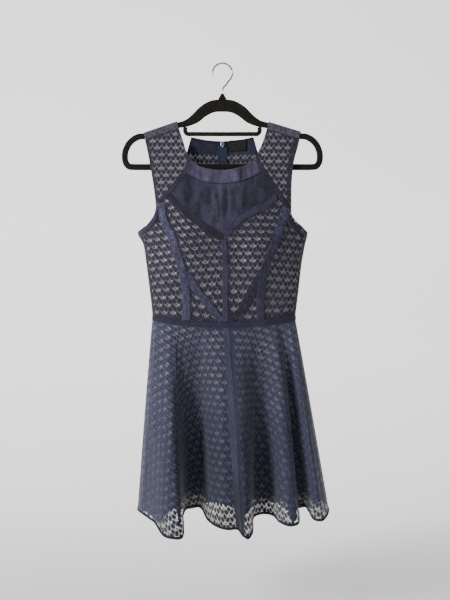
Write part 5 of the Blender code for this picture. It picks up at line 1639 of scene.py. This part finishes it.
class DRESS_OT_edges(bpy.types.Operator):
    """Rolls the edges of the armholes, and turns out the side seams"""
    bl_idname = "dress.edges"
    bl_label = "Armhole edges and side seams"

    def execute(self, context):
        for which, share in zip(SIDES, (0.0, 1.0)):
            outer = strap_seams(which)["outer"]
            for name, side in FACES.items():
                places = joined((outer, 3), (armhole(which, side), 2))(np.linspace(0, 1, 160))
                roll(f"armhole_edge_{name}_{which}", at_places(side, *places.T))
            drop = np.linspace(UNDERARM, WAIST_LOW, 90)
            angle = np.full(drop.shape, math.pi * (share - 0.5))
            down = np.linspace(0.01, 0.995, 140)
            lower = skirt(FRONT, np.full(down.shape, share), down)
            roll(f"side_seam_edge_{which}", np.vstack([bodice(FRONT, angle, drop), lower]))
        _, low, _, _ = plain_edges()["neckband_front"][1]
        places = low(np.linspace(0.01, 0.99, 90))
        roll("neckband_seam", at_places(FRONT, *places.T, NECK_ROLL_LIFT), NECK_ROLL)
        return {"FINISHED"}


SHOULDER_ROWS = (1.0, 0.55)     # shares of the strip's depth where its rows of points lie
SHOULDER_TURNS = (0, 40, 90, 140, 180)      # degrees round its fold
SHOULDER_GRID = (40, 32)


class DRESS_OT_shoulders(bpy.types.Operator):
    """Folds the shoulder strips over the hanger's arm"""
    bl_idname = "dress.shoulders"
    bl_label = "Shoulder strips"

    def execute(self, context):
        thick = context.scene.dress_sizes.cloth_thick / MM
        t = np.linspace(0, 1, 5)
        for which in SIDES:
            rows = []
            for side, deeps in ((FRONT, SHOULDER_ROWS), (BACK, SHOULDER_ROWS[::-1])):
                for deep in deeps:
                    places = straight(*shoulder_points(which, SHOULDER_DEEP * deep))(t)
                    rows.append(at_places(side, *places.T, SHOULDER_LIFT))
                if side == FRONT:
                    for turn in np.radians(SHOULDER_TURNS):
                        deep = SHOULDER_BEND * (1 - math.sin(turn))
                        x, drop = straight(*shoulder_points(which, deep))(t).T
                        y = np.full(len(t), -(SHOULDER_BEND + SHOULDER_LIFT) * math.cos(turn))
                        rows.append(np.stack([x, y, -drop], axis=-1))
            if which == "r":
                rows = [row[::-1] for row in rows]
            points = refined(rows[::-1], *SHOULDER_GRID)
            flat = ribbon_flat(points)
            sew(f"shoulder_band_{which}", FRONT, points, flat, "worn", thick)
        return {"FINISHED"}


def skirt_piece(node, side, first, last, finish, slot, lift=0.0, thick=0.0):
    """A panel of the skirt between two shares of the way across."""
    step = bpy.context.scene.dress_sizes.skirt_grid / MM
    columns = max(math.ceil((last - first) * HEM[side].length / step), 6)
    rows = math.ceil(SKIRT_LONG / step)
    share, down = np.meshgrid(np.linspace(first, last, columns + 1), np.linspace(0, 1, rows + 1))
    points = on_skirt(side, share, down, lift)
    rim = inside_edges(points, PLAIN_EDGES.get(node, NO_PLAIN_EDGES))
    bare = (down - lining_end(side, share)) * SKIRT_LONG
    sew(node, side, points, skirt_flat(side, share, down), finish, thick, (rim, bare))


class DRESS_OT_skirt(bpy.types.Operator):
    """Makes the lace panels of the skirt and the plain wedge between them"""
    bl_idname = "dress.skirt"
    bl_label = "Skirt"

    def execute(self, context):
        thick = context.scene.dress_sizes.cloth_thick / MM
        skirt_piece("skirt_front_l", FRONT, 0.0, WEDGE[0], "skirt_lace", "lace")
        skirt_piece("skirt_front_r", FRONT, WEDGE[1], 1.0, "skirt_lace", "lace")
        skirt_piece("skirt_front_wedge", FRONT, *WEDGE, "wedge", "navy", 0.5, thick)
        skirt_piece("skirt_back_l", BACK, 0.0, BACK_SPLIT, "skirt_lace", "lace")
        skirt_piece("skirt_back_r", BACK, BACK_SPLIT, 1.0, "skirt_lace", "lace")
        return {"FINISHED"}


class DRESS_OT_hem(bpy.types.Operator):
    """Folds the tape round the hem"""
    bl_idname = "dress.hem"
    bl_label = "Hem tape"

    def execute(self, context):
        for name, side in FACES.items():
            share = np.linspace(0, 1, math.ceil(HEM[side].length / HEM_GRID))
            edge, above = (on_skirt(side, share, np.full(share.shape, down))
                           for down in (1.0, 1.0 - HEM_ABOVE))
            long = np.linalg.norm(edge - above, axis=1) / HEM_ABOVE
            bulge = 1 + HEM_UNEVEN * uneven(share * 330.0, share * 90.0, 2.0 + side)
            rows = [on_skirt(side, share, 1.0 + low * bulge / long, out * bulge)
                    for low, out in HEM_PROFILE]
            points = np.stack(rows)
            flat = ribbon_flat(points.transpose(1, 0, 2)).transpose(1, 0, 2)
            sew(f"hem_binding_{name}", side, points, flat, "binding")
        return {"FINISHED"}


def lining_end(side, share):
    """The lining's own hem is uneven: it hangs nearly to the tape in some folds of the front."""
    if side == BACK:
        return LINING_DOWN + LINING_UNEVEN[side] * uneven(share * 19.0, share * 7.0, 0.6)
    ends = Table(FRONT_LINING_ENDS).at(share)[0]
    return ends + LINING_UNEVEN[side] * uneven(share * 90.0, share * 31.0, 0.6)


class DRESS_OT_lining(bpy.types.Operator):
    """Hangs the lining inside the bodice and the skirt"""
    bl_idname = "dress.lining"
    bl_label = "Lining"

    def execute(self, context):
        thick = context.scene.dress_sizes.lining_thick / MM
        for node, (side, edges) in lining_edges().items():
            angle, drop = patch(*edges, LINING_GRID)
            points = on_bodice(side, angle, drop, -LINING_INSET, LINING_CREASED[0])
            sew(node, side, points, bodice_flat(side, angle, drop), "lining", thick)
        for name, side in FACES.items():
            count = math.ceil(HEM[side].length / LINING_GRID)
            share = np.linspace(0, 1, count + 1)
            v = np.linspace(0, 1, LINING_ROWS)[:, None]
            down = v * lining_end(side, share)[None, :]
            short = mix(*LINING_OPEN, down)
            across = mix(short, 1.0 - short, share[None, :])
            points = on_skirt(side, across, down, -LINING_INSET, LINING_CREASED[1])
            flat = skirt_flat(side, across, down)
            sew(f"skirt_lining_{name}", side, points, flat, "skirt_lining", thick)
        return {"FINISHED"}


# ---------------------------------------------------------------- zip, label and stitching

ZIP_ROWS = (SLIDER_LOW + 0.3, 215, 260, 310, 372, 430, 480, 510, 540, WAIST_LOW - 0.2)
ZIP_SKIRT_ROWS = (0.05, 0.12, 0.20, 0.27, ZIP_LOW)


def zip_rows(offsets, inset):
    """Rows of points at offsets from the zip's line, from the slider down into the skirt."""
    offsets = np.array(offsets)
    rows = []
    for drop in ZIP_ROWS:
        left, right = SECTION.at(drop)[:2]
        x = (left + right) / 2 + offsets
        rows.append(at_places(BACK, x, np.full(offsets.shape, drop), -inset))
    for down in ZIP_SKIRT_ROWS:
        downs = np.full(2, down)
        near, far = skirt(BACK, np.array([BACK_SPLIT - 0.01, BACK_SPLIT + 0.01]), downs)
        share = BACK_SPLIT + offsets / (np.linalg.norm(far - near) / 0.02)
        rows.append(on_skirt(BACK, share, np.full(offsets.shape, down), -inset))
    return rows


class DRESS_OT_zip(bpy.types.Operator):
    """Makes the zip: its coil, tapes, slider and pull tab"""
    bl_idname = "dress.zip"
    bl_label = "Zip"

    def execute(self, context):
        for which, offsets in (("l", [-x for x in TAPE_OFFSETS[::-1]]), ("r", TAPE_OFFSETS)):
            points = refined(zip_rows(offsets, TAPE_INSET), *TAPE_GRID)
            flat = ribbon_flat(points)
            sew(f"zip_tape_{which}", BACK, points, flat, "zip_tape", TAPE_THICK)
        grid = refined(zip_rows((-COIL_HALF, 0.0, COIL_HALF), COIL_INSET), COIL_STEPS, 2)
        reached = lengths(grid[:, 1])
        pitch = context.scene.dress_sizes.coil_pitch / MM
        spots = np.arange(COIL_END, reached[-1] - COIL_END, pitch)
        left, middle, right = (read_at(spots, reached, grid[:, column]) for column in range(3))
        normals = unit(np.cross(right - left, np.gradient(middle, axis=0)))
        normals *= np.sign(normals[:, 1:2])
        points, faces = beads(left, right, normals, COIL_WIRE, COIL_RISE, sides=6)
        mesh = mesh_of("zip_coil", points, faces, "zip_tape")
        piece_of("zip_coil", mesh, ["zip_chain"])
        for node in ("zip_slider", "zip_pull"):
            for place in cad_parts[node].material_slots:
                place.material = FINISHES["enamel"]
        return {"FINISHED"}


class DRESS_OT_label(bpy.types.Operator):
    """Sews the bare label inside the back neckband"""
    bl_idname = "dress.label"
    bl_label = "Neck label"

    def execute(self, context):
        u, v = np.linspace(0, 1, 49)[None, :], np.linspace(0, 1, 29)[:, None]
        x = mix(LABEL_X[0], LABEL_X[1], u) + 0 * v
        upper, lower = (drop - slant * u for drop, slant in zip(LABEL_DROP, LABEL_SLANT))
        drop = mix(upper, lower, v)
        belly = LABEL_BELLY * (np.sin(math.pi * u) * np.sin(math.pi * v))
        ripple = LABEL_RIPPLE * uneven(x / 4.0, drop / 5.0, 0.9) - belly
        points = at_places(BACK, x, drop, -LABEL_INSET + ripple)
        flat = np.stack([x, -drop], axis=-1)
        sew("neck_label", BACK, points, flat, "label", LABEL_THICK)
        return {"FINISHED"}


STITCH_GRID = 2.4
STITCH_ROWS = (0.06, 0.94)      # shares of the way down a panel
STITCH_LIFT, STITCH_CROWN = 0.4, 0.9


class DRESS_OT_stitching(bpy.types.Operator):
    """Sews the rows of stitches along the bands, the neckband and the waistband"""
    bl_idname = "dress.stitching"
    bl_label = "Stitching"

    def execute(self, context):
        rows = []
        for places, u, lift in all_bands().values():
            points = band_points(places, u, lift)
            facing = unit(np.cross(np.gradient(points, axis=0), np.gradient(points, axis=1)))
            rows += [(points[1:-1, column], facing[1:-1, column]) for column in (1, -2)]
        sew_rows("stitching_bands", rows)
        rows = []
        for node, (side, edges) in plain_edges().items():
            if node == "yoke_front":
                continue
            angle, drop = patch(*edges, STITCH_GRID)
            count = angle.shape[0] - 1
            for share in STITCH_ROWS:
                place = share * count
                i = min(int(place), count - 1)
                a, d = (mix(grid[i], grid[i + 1], place - i) for grid in (angle, drop))
                crown = STITCH_CROWN * math.sin(math.pi * share) ** 0.5
                lift = np.full(a.shape, STITCH_LIFT + crown)
                rows.append((on_bodice(side, a, d, lift), outward(bodice, side, a, d, BODICE_STEP)))
        sew_rows("stitching_panels", rows)
        return {"FINISHED"}


# ---------------------------------------------------------------- hanger

def rings_along(middle, high, deep):
    """Rings of points round a line. High and deep say how far each is beside and before it."""
    along = unit(np.gradient(middle, axis=0))
    aside = unit(np.cross(along, (0.0, 1.0, 0.0)))
    before = np.cross(aside, along)
    return middle[:, None] + aside[:, None] * high[..., None] + before[:, None] * deep[..., None]


def round_rings(middle, radius, sides):
    turns = math.tau * np.arange(sides) / sides
    return rings_along(middle, radius * np.cos(turns), radius * np.sin(turns))


def bar(name, nodes, points, thick, sides=20):
    """A velvet bar of rounded section through points of x, drop and height."""
    line = Curve([(x, 0.0, -drop) for x, drop, _ in points])
    numbers = np.linspace(0, len(points) - 1, (len(points) - 1) * 8 + 1)
    high = np.interp(numbers, np.arange(len(points)), [p[2] for p in points])
    high = np.convolve(np.pad(high, 3, mode="edge"), np.full(7, 1 / 7), mode="valid") + NAP
    turns = math.tau * (np.arange(sides) + 0.5) / sides
    ways = np.cos(turns), np.sin(turns)
    rise, out = (np.sign(way) * np.abs(way) ** SQUARENESS for way in ways)
    rings = rings_along(line.at_number(numbers), rise * high[:, None] / 2, out * thick / 2)
    close_tube(name, nodes, rings, "velvet")


def close_tube(name, nodes, rings, finish):
    """A tube through rings of points, with its ends drawn to a soft close."""
    ends = []
    for ring, beside in ((rings[0], rings[1]), (rings[-1], rings[-2])):
        middle = ring.mean(axis=0)
        step = unit(middle - beside.mean(axis=0))
        ends.append([middle + (ring - middle) * share + step * out
                     for share, out in ((0.8, 0.3), (0.01, 0.4))])
    rings = np.concatenate([ends[0][::-1], rings, ends[1]])
    count, sides = rings.shape[:2]
    index = np.arange(count * sides).reshape(count, sides)
    nxt = np.roll(index, -1, axis=1)
    faces = np.stack([index[:-1], nxt[:-1], nxt[1:], index[1:]], axis=-1).reshape(-1, 4)
    mesh = mesh_of(name, rings, faces, finish)
    bm = bmesh.new()
    bm.from_mesh(mesh)
    bmesh.ops.holes_fill(bm, edges=bm.edges, sides=0)
    bmesh.ops.recalc_face_normals(bm, faces=bm.faces)
    bm.to_mesh(mesh)
    bm.free()
    piece_of(name, mesh, nodes)


class DRESS_OT_hanger(bpy.types.Operator):
    """Makes the velvet hanger and its steel hook"""
    bl_idname = "dress.hanger"
    bl_label = "Hanger"

    def execute(self, context):
        half = [*ARCH, *((x, drop, ARM_HIGH) for x, drop in END)]
        line = [(-x, drop, high) for x, drop, high in half[:0:-1]] + half
        nodes = ["hanger_arch", "hanger_end_l", "hanger_end_r"]
        bar("hanger_frame_flocked", nodes, line, HANGER_THICK)
        line = [(END[-1][0] * share, BAR_DROP, ARM_HIGH) for share in (-1.0, -0.5, 0.0, 0.5, 1.0)]
        bar("hanger_bar_flocked", ["hanger_bar"], line, HANGER_THICK)
        tie = [(x, drop, TIE_HIGH) for x, drop in TIE_BAR]
        bar("hanger_tie_bar_flocked", ["hanger_tie_bar"],
            [(-x, drop, high) for x, drop, high in tie] + tie[::-1], HANGER_THICK - 0.5)
        self.collar()
        self.hook()
        return {"FINISHED"}

    def collar(self):
        """A pointed collar, round at the hook and flat at the hanger."""
        turns = math.tau * np.arange(COLLAR_SIDES) / COLLAR_SIDES
        x, y = np.cos(turns), np.sin(turns)
        rings = [np.stack([wide * x, deep * y, np.full(COLLAR_SIDES, -drop)], axis=-1)
                 for drop, wide, deep in COLLAR]
        nodes = ["hanger_collar"]
        close_tube("hanger_collar_flocked", nodes, np.array(rings), "velvet")

    def hook(self):
        """The wire bends to one side, then runs round the rail to a rounded tip."""
        ring = HOOK_RADIUS + WIRE
        way = np.radians(HOOK_TURNS)
        route = [*HOOK_START, *zip(ring * np.cos(way), HOOK_RADIUS - ring * np.sin(way))]
        line = Curve([(x, 0.0, -drop) for x, drop in route])
        rings = round_rings(line.at(np.linspace(0, 1, HOOK_STEPS)), WIRE, WIRE_SIDES)
        close_tube("hanger_hook_wire", ["hanger_hook"], rings, "steel")


# ---------------------------------------------------------------- stage

# Each light's place and width in metres, and the setting that gives its power
LIGHTS = {
    "key_light": ((-2.3, -1.9, 0.75), 0.9, "key"),
    "fill_light": ((1.9, -1.5, -0.3), 1.6, "fill"),
    "back_light": ((0.3, 1.2, 0.9), 1.2, "fill"),
}
LIGHTS_AIM = Vector((0.0, 0.0, -0.55))
SENSOR_WIDE = 36.0
# The paper sweep, in millimetres: its near end, half its width, where it starts to bend up
# behind the dress, the radius of the bend, and how high it goes
SWEEP_NEAR, SWEEP_HALF_WIDE = -5000.0, 5000.0
SWEEP_BENDS_AT, SWEEP_BEND, SWEEP_HIGH = 900.0, 1100.0, 5200.0


class DRESS_OT_stage(bpy.types.Operator):
    """Sets up the floor, the lights and the camera"""
    bl_idname = "dress.stage"
    bl_label = "Stage"

    def execute(self, context):
        stage = context.scene.dress_stage
        floor = -stage.floor / MM
        profile = [(SWEEP_NEAR, floor), (-2000.0, floor), (SWEEP_BENDS_AT, floor)]
        for way in np.radians(range(0, 91, 9)):
            y = SWEEP_BENDS_AT + SWEEP_BEND * math.sin(way)
            profile.append((y, floor + SWEEP_BEND * (1 - math.cos(way))))
        profile.append((SWEEP_BENDS_AT + SWEEP_BEND, floor + SWEEP_HIGH))
        x = np.linspace(-SWEEP_HALF_WIDE, SWEEP_HALF_WIDE, 9)
        points = np.array([np.stack(np.broadcast_arrays(x, y, z), axis=-1) for y, z in profile])
        mesh = mesh_of("studio_sweep", points, grid_faces(*points.shape[:2], True), "sweep")
        sweep = bpy.data.objects.new("studio_sweep", mesh)
        context.scene.collection.objects.link(sweep)
        for name, (place, wide, setting) in LIGHTS.items():
            self.light(name, place, wide, getattr(stage, setting))
        world = bpy.data.worlds.new("room")
        world.use_nodes = True
        background = world.node_tree.nodes["Background"]
        background.inputs["Color"].default_value = (1.0, 1.0, 1.0, 1.0)
        background.inputs["Strength"].default_value = stage.room
        context.scene.world = world
        lens = bpy.data.cameras.new("camera")
        lens.lens = stage.lens
        lens.sensor_width = SENSOR_WIDE
        lens.clip_start = 0.05
        camera = bpy.data.objects.new("camera", lens)
        camera.location = (stage.aside, -stage.distance, -stage.height)
        camera.rotation_euler = (math.pi / 2, 0.0, 0.0)
        context.scene.collection.objects.link(camera)
        context.scene.camera = camera
        return {"FINISHED"}

    def light(self, name, place, wide, power):
        lamp = bpy.data.lights.new(name, "AREA")
        lamp.shape = "DISK"
        lamp.size = wide
        lamp.energy = power
        made = bpy.data.objects.new(name, lamp)
        made.location = place
        made.rotation_euler = (LIGHTS_AIM - made.location).to_track_quat("-Z", "Y").to_euler()
        bpy.context.scene.collection.objects.link(made)


OPERATORS = (
    DRESS_OT_lace_panels,
    DRESS_OT_plain_panels,
    DRESS_OT_bands,
    DRESS_OT_edges,
    DRESS_OT_shoulders,
    DRESS_OT_skirt,
    DRESS_OT_hem,
    DRESS_OT_lining,
    DRESS_OT_zip,
    DRESS_OT_label,
    DRESS_OT_stitching,
    DRESS_OT_hanger,
    DRESS_OT_stage,
)
SETTINGS = {"dress_sizes": DressSizes, "dress_colours": DressColours, "dress_stage": DressStage}


class DRESS_PT_panel(bpy.types.Panel):
    """Lists the pieces of the dress and the settings they read"""
    bl_idname = "DRESS_PT_panel"
    bl_label = "Lace dress"
    bl_space_type = "VIEW_3D"
    bl_region_type = "UI"
    bl_category = "Lace dress"

    def draw(self, context):
        for operator in OPERATORS:
            self.layout.operator(operator.bl_idname)
        for name in SETTINGS:
            settings = getattr(context.scene, name)
            for key in settings.bl_rna.properties.keys():
                if key not in ("rna_type", "name"):
                    self.layout.prop(settings, key)


def register():
    for kind in (*SETTINGS.values(), *OPERATORS, DRESS_PT_panel):
        bpy.utils.register_class(kind)
    for name, kind in SETTINGS.items():
        setattr(bpy.types.Scene, name, bpy.props.PointerProperty(type=kind))


def unregister():
    for name in SETTINGS:
        delattr(bpy.types.Scene, name)
    for kind in (DRESS_PT_panel, *reversed(OPERATORS), *SETTINGS.values()):
        bpy.utils.unregister_class(kind)


FINISHES = {}


def main():
    register()
    FINISHES.update(make_finishes())
    for operator in OPERATORS:
        group, name = operator.bl_idname.split(".")
        getattr(getattr(bpy.ops, group), name)()


if __name__ == "__main__":
    main()
